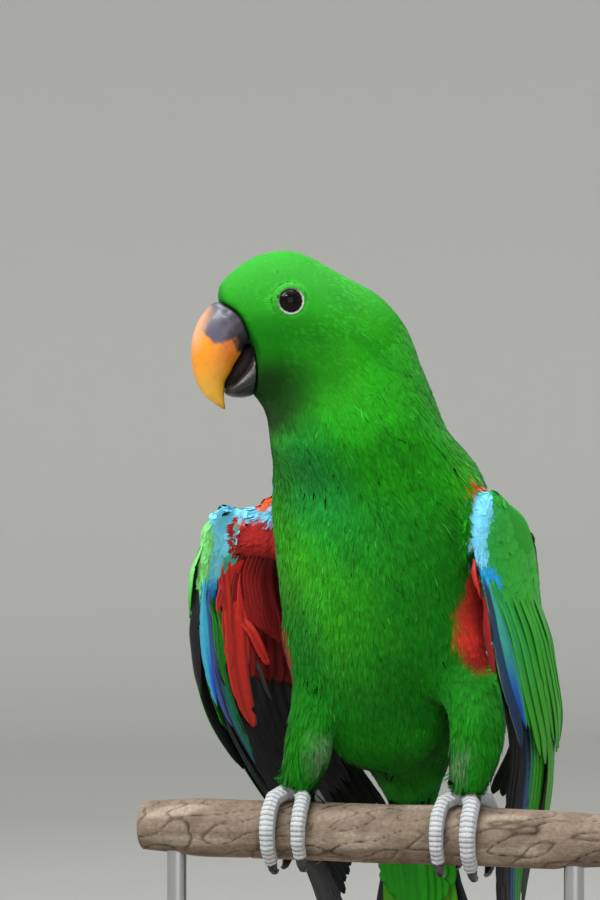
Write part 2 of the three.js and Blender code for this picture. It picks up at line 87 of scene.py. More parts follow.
bpy.ops.object.camera_add(location=VIEW_TARGET + VIEW_TOWARDS * VIEW_DISTANCE,
                          rotation=(math.radians(90), 0, VIEW_TURN))
camera = bpy.context.object
camera.data.sensor_fit = "VERTICAL"
camera.data.sensor_height = 36
camera.data.lens = 158.5
camera.data.clip_end = 20
bpy.context.scene.camera = camera
print("camera at", [round(v, 3) for v in camera.location])

# %% Helpers for points, colours and meshes


def linear(code):
    """An sRGB colour written as six hex digits, as linear red, green and blue."""
    values = [int(code[i:i + 2], 16) / 255 for i in (0, 2, 4)]
    return np.array([v / 12.92 if v <= 0.04045 else ((v + 0.055) / 1.055) ** 2.4 for v in values])


def mix(a, b, share):
    return a + (b - a) * share


def smooth(low, high, value):
    """0 below low, 1 above high, and a smooth step between them. low may be the larger."""
    share = np.clip((value - low) / (high - low), 0, 1)
    return share * share * (3 - 2 * share)


def blend(a, b, share):
    """Rows of colours between a and b, by a share for each row."""
    share = np.asarray(share)[..., None]
    return np.asarray(a) * (1 - share) + np.asarray(b) * share


def unit(vectors):
    return vectors / np.maximum(np.linalg.norm(vectors, axis=-1, keepdims=True), 1e-12)


def activate(piece):
    bpy.ops.object.select_all(action="DESELECT")
    piece.select_set(True)
    bpy.context.view_layer.objects.active = piece


def mesh_piece(name, points, faces, tint=None, maps=None, facing=None):
    """A new object from points in millimetres and rows of corners, all rows of one length. facing holds
    the normals it is shaded by, where those are softer than its own."""
    mesh = bpy.data.meshes.new(name)
    points = np.asarray(points, dtype=np.float32) * MM
    faces = np.asarray(faces, dtype=np.int32)
    mesh.vertices.add(len(points))
    mesh.vertices.foreach_set("co", points.ravel())
    mesh.loops.add(faces.size)
    mesh.loops.foreach_set("vertex_index", faces.ravel())
    mesh.polygons.add(len(faces))
    mesh.polygons.foreach_set("loop_start", np.arange(0, faces.size, faces.shape[1], dtype=np.int32))
    mesh.polygons.foreach_set("use_smooth", np.ones(len(faces), dtype=bool))
    mesh.update(calc_edges=True)
    if tint is not None:
        set_tint(mesh, tint)
    for map_name, places in (maps or {}).items():
        layer = mesh.uv_layers.new(name=map_name)
        layer.data.foreach_set("uv", np.asarray(places, dtype=np.float32)[faces.ravel()].ravel())
    if facing is not None:
        mesh.normals_split_custom_set_from_vertices(facing)
    piece = bpy.data.objects.new(name, mesh)
    bpy.context.collection.objects.link(piece)
    return piece


def set_tint(mesh, tint):
    """Writes a colour for each point, which the materials read by the name tint."""
    layer = mesh.attributes.get("tint") or mesh.attributes.new("tint", "FLOAT_COLOR", "POINT")
    rgba = np.ones((len(mesh.vertices), 4), dtype=np.float32)
    rgba[:, :3] = tint
    layer.data.foreach_set("color", rgba.ravel())


def mesh_points(mesh):
    """The points of a mesh and their normals, the points in millimetres."""
    points = np.empty(len(mesh.vertices) * 3, dtype=np.float32)
    normals = np.empty(len(mesh.vertices) * 3, dtype=np.float32)
    mesh.vertices.foreach_get("co", points)
    mesh.vertex_normals.foreach_get("vector", normals)
    return points.reshape(-1, 3) / MM, normals.reshape(-1, 3)


def move_points(mesh, points):
    mesh.vertices.foreach_set("co", (np.asarray(points, dtype=np.float32) * MM).ravel())
    mesh.update()


def apply_modifier(piece, kind, **settings):
    activate(piece)
    modifier = piece.modifiers.new(kind.title(), kind)
    for key, value in settings.items():
        setattr(modifier, key, value)
    bpy.ops.object.modifier_apply(modifier=modifier.name)


def triangles(piece):
    return sum(len(face.vertices) - 2 for face in piece.data.polygons)


def dress(piece, material, slot, *nodes):
    """Gives a piece its finish, hangs it on the body and hides the solids it stands for."""
    piece.data.materials.clear()
    piece.data.materials.append(material)
    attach(piece, "root")
    if nodes:
        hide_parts(*nodes)


# %% Floor
FLOOR_RADIUS, WALL_RADIUS, WALL_HEIGHT = 2.3, 3.6, 4.0
bend = [(FLOOR_RADIUS + math.sin(a) * (WALL_RADIUS - FLOOR_RADIUS), 0,
         (1 - math.cos(a)) * (WALL_RADIUS - FLOOR_RADIUS)) for a in np.linspace(0, math.pi / 2, 17)]
profile = [(0, 0, 0), (0.8, 0, 0), (1.6, 0, 0), *bend, (WALL_RADIUS, 0, WALL_HEIGHT)]
floor_mesh = bpy.data.meshes.new("floor")
floor_mesh.from_pydata(profile, [(i, i + 1) for i in range(len(profile) - 1)], [])
floor = bpy.data.objects.new("floor", floor_mesh)
bpy.context.collection.objects.link(floor)
activate(floor)
bpy.ops.object.mode_set(mode="EDIT")
bpy.ops.mesh.select_all(action="SELECT")
bpy.ops.mesh.spin(steps=96, angle=2 * math.pi, center=(0, 0, 0), axis=(0, 0, 1))
bpy.ops.mesh.select_all(action="SELECT")
bpy.ops.mesh.remove_doubles(threshold=1e-4)
bpy.ops.mesh.normals_make_consistent(inside=True)
bpy.ops.object.mode_set(mode="OBJECT")
bpy.ops.object.shade_smooth()
paper = bpy.data.materials.new("grey_paper")
paper.use_nodes = True
paper_shader = paper.node_tree.nodes["Principled BSDF"]
paper_shade = paper.node_tree.nodes.new("ShaderNodeAttribute")
paper_shade.attribute_name = "tint"
paper.node_tree.links.new(paper_shade.outputs["Color"], paper_shader.inputs["Base Color"])
paper_shader.inputs["Roughness"].default_value = 0.95
paper_shader.inputs["Specular IOR Level"].default_value = 0.1
floor.data.materials.append(paper)
across_floor = np.linalg.norm(mesh_points(floor.data)[0][:, :2], axis=1) * MM
# The paper is painted darker over the middle of the floor, as painted shade, rising to its full pale tint at
# the wall.
set_tint(floor.data, np.outer(mix(0.55, 1.0, smooth(1.5, 3.4, across_floor)), linear("cbcbc6")))
floor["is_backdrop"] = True
print("floor faces:", len(floor.data.polygons))

# %% Light
LIGHTS_AIM = VIEW_TARGET + Vector((0, 0, -0.03))
WING_LINING = Vector((-0.068, -0.004, 0.23))


def lamp(kind, name, right, towards, up, power, target):
    """A light placed from the camera's target, in metres to its right, towards the camera and up."""
    place = VIEW_TARGET + VIEW_RIGHT * right + VIEW_TOWARDS * towards + Vector((0, 0, up))
    bpy.ops.object.light_add(type=kind, location=place)
    light = bpy.context.object
    light.name = name
    light.data.energy = power
    light.rotation_euler = (target - place).to_track_quat("-Z", "Y").to_euler()
    return light.data


def softbox(name, right, towards, up, size, power):
    light = lamp("AREA", name, right, towards, up, power, LIGHTS_AIM)
    light.shape = "SQUARE"
    light.size = size


softbox("key_light", -1.0, 0.8, 1.4, 0.9, 23)
softbox("sky_light", 0.0, -0.2, 1.7, 1.4, 24)
softbox("front_light", 0.5, 2.2, 0.3, 1.6, 9)
softbox("catch_light", -0.37, 1.07, 1.0, 0.16, 4.5)
softbox("rim_light", 0.8, -1.3, 0.8, 0.8, 6)
# A narrow spot brings out the red lining of the right wing, which the body shades.
wing_spot = lamp("SPOT", "wing_spot", 0.3, 1.4, 0.1, 23, WING_LINING)
wing_spot.spot_size = math.radians(5)
wing_spot.spot_blend = 1.0
wing_spot.shadow_soft_size = 0.04
world = bpy.data.worlds.new("studio")
world.use_nodes = True
world.node_tree.nodes["Background"].inputs["Color"].default_value = (0.95, 0.97, 1.0, 1)
world.node_tree.nodes["Background"].inputs["Strength"].default_value = 0.88
bpy.context.scene.world = world
bpy.context.scene.view_settings.view_transform = "Standard"

# %% [markdown]
# ## Materials
# A feather's green is not a dye alone: its fine barbs scatter blue light under a yellow horn, so it is
# bright, soft and only a little shiny. Each feather's colour is stored on its own points under the name
# tint, because it changes along the feather and from one part of the bird to the next. The material
# then adds what is finer: a mottle between barbs, and the slanting lines of the barbs themselves.

# %% Material helpers


def add(tree, kind, inputs=None, **settings):
    """A node with its settings. An input is a value, or an output that is linked to it."""
    made = tree.nodes.new(kind)
    for key, value in settings.items():
        setattr(made, key, value)
    for key, value in (inputs or {}).items():
        if isinstance(value, bpy.types.NodeSocket):
            tree.links.new(value, made.inputs[key])
        else:
            made.inputs[key].default_value = value
    return made


def finish(name, **sockets):
    """A material with a Principled shader, whose even settings are on the shader's own sockets."""
    material = bpy.data.materials.new(name)
    material.use_nodes = True
    shader = material.node_tree.nodes["Principled BSDF"]
    for key, value in sockets.items():
        shader.inputs[key.replace("_", " ")].default_value = value
    return material, material.node_tree, shader


def object_noise(tree, size, detail=3.0, stretch=(1, 1, 1)):
    """Noise whose lumps are size millimetres across, in the piece's own coordinates."""
    place = add(tree, "ShaderNodeTexCoord").outputs["Object"]
    scaled = add(tree, "ShaderNodeMapping", {"Vector": place, "Scale": stretch})
    return add(tree, "ShaderNodeTexNoise",
               {"Vector": scaled.outputs["Vector"], "Scale": 1 / (size * MM), "Detail": detail})


def tinted(tree, strength, size):
    """The stored tint, made lighter and darker by a fine mottle."""
    tint = add(tree, "ShaderNodeAttribute", attribute_name="tint")
    mottle = add(tree, "ShaderNodeMapRange",
                 {"Value": object_noise(tree, size).outputs["Fac"], "From Min": 0.25, "From Max": 0.75,
                  "To Min": 1 - strength, "To Max": 1 + strength})
    return add(tree, "ShaderNodeVectorMath", {0: tint.outputs["Color"], "Scale": mottle.outputs["Result"]},
               operation="SCALE").outputs["Vector"]


def roughen(tree, shader, height, strength, distance):
    """Fine relief from a height between 0 and 1, distance millimetres deep."""
    bump = add(tree, "ShaderNodeBump", {"Height": height, "Strength": strength, "Distance": distance * MM})
    tree.links.new(bump.outputs["Normal"], shader.inputs["Normal"])


def tinted_finish(name, mottle, noise=None, relief=None, **sockets):
    """A finish in the stored tint. mottle is its strength and size, noise and relief are the settings of
    object_noise and roughen."""
    material, tree, shader = finish(name, **sockets)
    tree.links.new(tinted(tree, *mottle), shader.inputs["Base Color"])
    if noise:
        roughen(tree, shader, object_noise(tree, *noise).outputs["Fac"], *relief)
    return material, tree, shader


# %% Plumage
BARB_SPACING = 0.9  # millimetres. The real barbs are 0.35 apart, too fine to show at this size
BARB_SLANT = 1.1


def plumage(name, roughness, sheen):
    return tinted_finish(name, (0.08, 1.4), Roughness=roughness, Sheen_Weight=sheen, Sheen_Roughness=0.5,
                         Specular_IOR_Level=0.08)


def barbed(name, roughness, specular):
    """The finish of a large feather, with slanting barbs on both sides of its quill. Its vane map holds
    millimetres across and along the feather."""
    material, tree, shader = plumage(name, roughness, 0.04)
    shader.inputs["Specular IOR Level"].default_value = specular
    place = add(tree, "ShaderNodeUVMap", uv_map="vane")
    parts = add(tree, "ShaderNodeSeparateXYZ", {"Vector": place.outputs["UV"]})
    across = add(tree, "ShaderNodeMath", {0: parts.outputs["X"]}, operation="ABSOLUTE")
    slanted = add(tree, "ShaderNodeMath", {0: across.outputs[0], 1: -BARB_SLANT, 2: parts.outputs["Y"]},
                  operation="MULTIPLY_ADD")
    turns = add(tree, "ShaderNodeMath", {0: slanted.outputs[0], 1: 2 * math.pi / BARB_SPACING},
                operation="MULTIPLY")
    ridges = add(tree, "ShaderNodeMath", {0: turns.outputs[0]}, operation="SINE")
    roughen(tree, shader, ridges.outputs[0], 0.22, 0.08)
    return material


soft_feather, _, _ = plumage("soft_contour_feathers", 0.7, 0.05)
flight_feather = barbed("firm_flight_feathers", 0.5, 0.25)
skin_finish, _, _ = plumage("down_covered_skin", 0.85, 0.0)
print("plumage finishes:", soft_feather.name, flight_feather.name)

# %% [markdown]
# ## The body's own places
# The bird is drawn from a few frames. The head has one of its own, since it is turned 58 degrees to the
# bird's right. Each wing is a curved surface, read by how far along it a place lies from the bend of the
# wing, how far back from its leading edge, and how far out from its middle layer. These are the same
# surfaces that the solids were made on, so that finer feathers land where the coarse ones are.

# %% Head frame
PERCH_TOP = 150.0
PERCH_RADIUS = 12.0
PERCH_Y = -15.0
HEAD_TURN = math.radians(58)
HEAD_SIZE = 0.975
FORWARD = np.array([-math.sin(HEAD_TURN), -math.cos(HEAD_TURN), 0])
LEFTWARD = np.array([math.cos(HEAD_TURN), -math.sin(HEAD_TURN), 0])
UPWARD = np.array([0, 0, 1.0])
EYES_MIDDLE = np.array([-6.5, -22.5, PERCH_TOP + 199.9]) + FORWARD * 25.2
EYE = {"radius": 6.2, "side": 15.4, "ahead": 3.3}


def head_point(forward, up, left=0.0):
    return EYES_MIDDLE + FORWARD * (HEAD_SIZE * forward) + UPWARD * (HEAD_SIZE * up) + LEFTWARD * left


def head_places(points):
    """Forward, up and left of the middle of the eyes, for each point."""
    apart = points - EYES_MIDDLE
    return apart @ FORWARD / HEAD_SIZE, apart @ UPWARD / HEAD_SIZE, apart @ LEFTWARD


EYE_CENTRES = {"left": head_point(EYE["ahead"], 0, EYE["side"]),
               "right": head_point(EYE["ahead"], 0, -EYE["side"])}


def eye_gap(points):
    """How far each point lies from the nearer eye's centre."""
    return np.minimum(*(np.linalg.norm(points - centre, axis=1) for centre in EYE_CENTRES.values()))


def from_eyes(points):
    """How far each point lies from the middle between the eyes."""
    return np.linalg.norm(points - EYES_MIDDLE, axis=1)


print("eyes at", {side: np.round(centre, 1).tolist() for side, centre in EYE_CENTRES.items()})

# %% Wing surfaces
WING_LENGTH = 238.0
WING_CURVE = 53.0
# A row holds a place on the leading edge, as x, y and height above the perch, then how far the wing leans
# outwards there, how broad it is, and how fast it drops as it goes back.
WINGS = {
    "left": {"side": 1, "rows": np.array([
        [44.5, -22, 128, 36, 60, 0.4], [44, -22, 102, 38, 80, 0.4], [49.5, -18, 75.5, 34, 86, 0.4],
        [53, -12, 49, 31, 86, 0.35], [54, 1, 23, 23, 80, 0.3], [48, 12.5, -2, 22, 70, 0.25],
        [41, 23, -25.5, 16, 56, 0.2], [39, 31, -49, 10, 40, 0.1], [37, 39, -73, 4, 27, 0],
        [35, 46, -97, 0, 12, 0]])},
    "right": {"side": -1, "rows": np.array([
        [-63, -23, 120, 8, 60, 0.3], [-70.5, -21, 95, 11, 80, 0.35], [-73.5, -16, 68, 12, 86, 0.35],
        [-71.5, -9, 41, 12, 86, 0.35], [-65, 4, 16, 12, 80, 0.3], [-55.5, 15, -6.5, 12, 70, 0.25],
        [-47, 24, -28.5, 10, 56, 0.2], [-42, 32, -51, 6, 40, 0.1], [-38, 39, -74, 3, 27, 0],
        [-35, 46, -97, 0, 12, 0]])},
}


def smooth_rows(rows, place):
    """The smooth curve through evenly spaced rows, read at places from 0, the first row, to 1, the last."""
    last = len(rows) - 1
    x = np.asarray(place, dtype=float) * last
    i = np.clip(np.floor(x).astype(int), 0, last - 1)
    t = np.clip(x - i, 0, 1)
    past = (x - i - t)[..., None]
    t = t[..., None]
    a, b, c, d = (rows[np.clip(i + k, 0, last)] for k in (-1, 0, 1, 2))
    curve = b + 0.5 * t * (c - a + t * (2 * a - 5 * b + 4 * c - d + t * (3 * (b - c) + d - a)))
    return curve + past * (c - b)


def wing_point(wing, along, behind, out):
    along, behind, out = np.broadcast_arrays(along, behind, out)
    x, y, up, lean, _, drop = np.moveaxis(smooth_rows(wing["rows"], along / WING_LENGTH), -1, 0)
    start = np.radians(lean)
    here = start - behind / WING_CURVE
    outward = WING_CURVE * (np.cos(here) - np.cos(start)) + out * np.cos(here)
    back = WING_CURVE * (np.sin(start) - np.sin(here)) - out * np.sin(here)
    return np.stack([x + wing["side"] * outward, y + back, PERCH_TOP + up - drop * behind], axis=-1)


def wing_width(wing, along):
    return smooth_rows(wing["rows"], np.asarray(along) / WING_LENGTH)[..., 4]


for name, wing in WINGS.items():
    print(name, "wing tip at", np.round(wing_point(wing, WING_LENGTH, 6, 0), 1).tolist())

# %% Fleshy part of the wing
FLESH = {"length": 92, "outer": 5.4, "inner": -3.6}


def wing_flesh(wing):
    """Rings round the wing's fleshy part, and for each point how far along, back and out it lies."""
    shares = 0.5 - 0.5 * np.cos(np.linspace(0, math.pi, 13))
    thick = np.sin(np.linspace(0, math.pi, 13)) ** 0.6
    loop = np.concatenate([shares, shares[-2:0:-1]])
    level = np.concatenate([thick * FLESH["outer"], thick[-2:0:-1] * FLESH["inner"]])
    rings = []
    for along in np.concatenate([[-2, -1, 1, 4, 8], np.linspace(13, FLESH["length"], 24)]):
        begin = min(1, (along + 3.2) / 20) ** 0.5
        width = wing_width(wing, along) * mix(0.65, 0.9, begin)
        thin = mix(1, 0.3, smooth(30, FLESH["length"], along))
        behind = mix(12 * (1 - begin) + 1, width, loop)
        rings.append(np.stack([np.full(len(loop), along), behind, level * begin * thin], axis=-1))
    return np.array(rings)


def ring_faces(rings, around):
    """Square faces between rings of points. The two ends stay open."""
    k, j = np.meshgrid(np.arange(rings - 1), np.arange(around), indexing="ij")
    a, b = k * around + j, k * around + (j + 1) % around
    return np.stack([a, b, b + around, a + around], axis=-1).reshape(-1, 4)


flesh_places = {name: wing_flesh(wing) for name, wing in WINGS.items()}
print("wing flesh rings:", {name: rings.shape[:2] for name, rings in flesh_places.items()})

# %% [markdown]
# ## One skin
# The head, neck, body, thighs and the fleshy part of the wings are one skin on a real bird. Copies of the
# solids are grown until they overlap, joined and remeshed, which closes the thin cuts between them. A
# smoothing pass takes out the flat facets, and the whole is then drawn in by the depth of the coat.

# %% Join and remesh
FLESH_NODES = ["head", "neck", "torso", "thigh_left", "thigh_right", "shoulder_left", "shoulder_right"]
# On a living bird the plumage fills the hollows under the throat, above the thighs and under the right arm.
# The throat's is found by its height, further down. Each of the others is a place and how far it reaches.
HOLLOWS = (([38, -11, 208], 26), ([-27, -19, 201], 16), ([24, -20, 194], 18), ([-54, 0, 247], 19))
# It is fuller than the solids in other places: each has its reach, and how far the skin moves there.
FULLER = (
    ([-38, -14, 203], 24, [-3.4, -0.6, 0]), ([48, -12, 268], 11, [0, 0, 2.2]),
    ([-52, -8, 266], 13, [0, 0, 4.6]), ([-46, 3, 267], 11, [-2.5, 0, 5.5]),
    ([-69, -20, 262], 15, [-1.6, 0, 1.8]), ([-60, -6, 265], 10, [0, 0, 2.6]),
    ([42, -19, 208], 22, [2.8, -0.6, 0]), ([42, -19, 188], 20, [2.4, 0, 0]),
    ([44, -6, 214], 17, [3.6, 0, 0]), ([50, -8, 206], 14, [2.2, 0, 0]),
    ([50, -8, 180], 20, [2.4, 0, 0]), ([46, -8, 198], 15, [2.6, 0, 0]),
    (head_point(6, 21), 24, [0, 0, 1.1]), ([-14, -6, 178], 20, [-4.5, -1, -2.5]),
    ([-4, -2, 167], 18, [-6, 0, -2]), ([18, -6, 176], 18, [3.5, -1, -2]),
    (head_point(-42, -4), 27, -2.9 * FORWARD + 1.3 * UPWARD), (head_point(-52, -34), 27, -1.8 * FORWARD),
)


def welded_copy(name, nodes, grow=0.0):
    """Copies of CAD nodes as one new object, with doubled points merged and the faces grown outwards."""
    copies = []
    for node in nodes:
        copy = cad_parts[node].copy()
        copy.data = copy.data.copy()
        copy.hide_render = False
        copy.hide_viewport = False
        bpy.context.collection.objects.link(copy)
        copies.append(copy)
    bpy.ops.object.select_all(action="DESELECT")
    for copy in copies:
        copy.parent = None
        copy.select_set(True)
    bpy.context.view_layer.objects.active = copies[0]
    if len(copies) > 1:
        bpy.ops.object.join()
    piece = bpy.context.view_layer.objects.active
    fresh = bpy.data.objects.new(name, piece.data)
    bpy.context.collection.objects.link(fresh)
    bpy.data.objects.remove(piece)
    fresh.data.name = name
    activate(fresh)
    bpy.ops.object.mode_set(mode="EDIT")
    bpy.ops.mesh.select_all(action="SELECT")
    bpy.ops.mesh.remove_doubles(threshold=1e-6)
    bpy.ops.mesh.normals_make_consistent(inside=False)
    if grow:
        bpy.ops.transform.shrink_fatten(value=grow * MM)
    bpy.ops.object.mode_set(mode="OBJECT")
    return fresh


def organic(piece, voxel, rounds):
    """Remeshes a piece to even squares and smooths its facets away."""
    apply_modifier(piece, "REMESH", mode="VOXEL", voxel_size=voxel * MM, use_smooth_shade=True)
    apply_modifier(piece, "SMOOTH", factor=0.5, iterations=rounds)
    return piece


def smooth_where(piece, share, rounds):
    """Smooths a piece by a share for each of its points, in steps of a tenth."""
    group = piece.vertex_groups.new(name="smoothed")
    for step in range(1, 11):
        there = np.flatnonzero(np.round(share * 10) == step)
        group.add(there.tolist(), step / 10, "REPLACE")
    apply_modifier(piece, "SMOOTH", factor=0.5, iterations=rounds, vertex_group=group.name)
    piece.vertex_groups.clear()


skin = welded_copy("skin", FLESH_NODES, 0.35)
for name, wing in WINGS.items():
    places = flesh_places[name]
    count, around = places.shape[:2]
    flesh = mesh_piece(f"flesh_{name}", wing_point(wing, *np.moveaxis(places.reshape(-1, 3), -1, 0)),
                       ring_faces(count, around))
    activate(flesh)
    bpy.ops.object.mode_set(mode="EDIT")
    bpy.ops.mesh.select_all(action="SELECT")
    bpy.ops.mesh.fill_holes(sides=0)
    bpy.ops.mesh.normals_make_consistent(inside=False)
    bpy.ops.object.mode_set(mode="OBJECT")
    skin.select_set(True)
    bpy.context.view_layer.objects.active = skin
    bpy.ops.object.join()
organic(skin, 1.3, 9)
points, _ = mesh_points(skin.data)
x, y, z = points.T
smooth_where(skin, smooth(42, 52, from_eyes(points)) * smooth(168, 182, z) * smooth(46, 40, np.abs(x)), 45)
points, _ = mesh_points(skin.data)
x, y, z = points.T
hollows = smooth(14, 7, np.abs(z - 277)) * smooth(-10, -24, y) * smooth(40, 30, np.abs(x))
for place, size in HOLLOWS:
    hollows = np.maximum(hollows, smooth(size, size * 0.4, np.linalg.norm(points - place, axis=1)))
smooth_where(skin, hollows, 120)
points, _ = mesh_points(skin.data)
for place, size, push in FULLER:
    points = points + smooth(size, size * 0.27, np.linalg.norm(points - place, axis=1))[:, None] * push
move_points(skin.data, points)
print("skin faces:", len(skin.data.polygons))

# %% Regions of the skin
# Points spread over each wing's fleshy part tell which places of the skin belong to a wing, and where.
WING_REACH = 3.4  # a place belongs to the wing within these millimetres of one of its points
wing_places, wing_sides, wing_samples = [], [], []
for wing in WINGS.values():
    for face in (FLESH["outer"], FLESH["inner"]):
        along, share = np.meshgrid(np.linspace(0, FLESH["length"], 40), np.linspace(0, 1, 34), indexing="ij")
        behind = share * wing_width(wing, along) * 0.9
        arch = np.sin(np.pi * np.clip(share, 0.03, 0.97)) ** 0.6
        out = face * mix(1, 0.3, smooth(30, FLESH["length"], along)) * arch
        wing_places.append(np.stack([along, behind], axis=-1).reshape(-1, 2))
        wing_samples.append(wing_point(wing, along, behind, out).reshape(-1, 3))
        wing_sides.append(np.full(along.size, wing["side"] * (2 if face > 0 else 1)))
wing_places, wing_sides, wing_samples = map(np.concatenate, (wing_places, wing_sides, wing_samples))
wing_tree = KDTree(len(wing_samples))
for index, place in enumerate(wing_samples):
    wing_tree.insert(place, index)
wing_tree.balance()


def read_wing(points):
    """For each point, the wing's face it lies on: 2 for the left wing's outer face and 1 for its inner one,
    -2 and -1 on the right wing and 0 elsewhere. Then how far along the wing and behind its edge it is."""
    found = [wing_tree.find(point) for point in points]
    index = np.array([hit[1] for hit in found])
    near = np.array([hit[2] for hit in found]) < WING_REACH
    return np.where(near, wing_sides[index], 0), wing_places[index, 0], wing_places[index, 1]


print("wing samples:", len(wing_samples))

# %% [markdown]
# ## Markings
# Skin and feathers ask one function for their colour, by their place on the bird. Green varies softly from
# place to place, bluer on the throat and belly. Light and shade are painted into it too: yellower where
# the body faces the bird's right, darker where it faces its left, low on its right side and low on its
# front, lighter on the crown and darker on the cheeks and chin. The flanks under the wings are scarlet,
# the bend of each wing is turquoise, and the lining of the wings is scarlet with a green and blue front edge.

# %% Colours
GREEN = linear("24a514")
BRIGHT_GREEN = linear("45bd40")
DEEP_GREEN = linear("137512")
TEAL_GREEN = linear("209c4b")
YELLOW_GREEN = linear("5cb822")
# A painted highlight: the lit look of green feathers on the right wing's front edge and of glinting barbs.
HIGHLIGHT_GREEN = linear("80dc7c")
CHIN_SHADOW_GREEN = linear("1a3c14")
SCARLET = linear("e23a31")
DARK_RED = linear("932023")
MAROON = linear("56161c")
ORANGE_RED = linear("f2622f")
TURQUOISE = linear("7cdcff")
PALE_BLUE = linear("c8f0fb")
SKY_BLUE = linear("2fa6f2")
ROYAL_BLUE = linear("2156cf")
INDIGO = linear("233f5c")
BLACK = linear("17171b")
SLATE = linear("3b3f4a")
GREY_DOWN = linear("8a8f86")


def waves(points, size, seed):
    """Soft random variation from 0 to 1 over space, in lumps about size millimetres across."""
    turns = np.random.default_rng(seed)
    total = np.zeros(len(points))
    for _ in range(5):
        direction = unit(turns.normal(size=3)) * (2 * math.pi / size) * turns.uniform(0.5, 1.3)
        total += np.sin(points @ direction + turns.uniform(0, 2 * math.pi))
    return np.clip(0.5 + total / 5, 0, 1)


def near(points, place, outer, inner, stretch=(1, 1, 1)):
    """1 within inner millimetres of a place, falling to 0 at outer."""
    return smooth(outer, inner, np.linalg.norm((points - place) * stretch, axis=1))


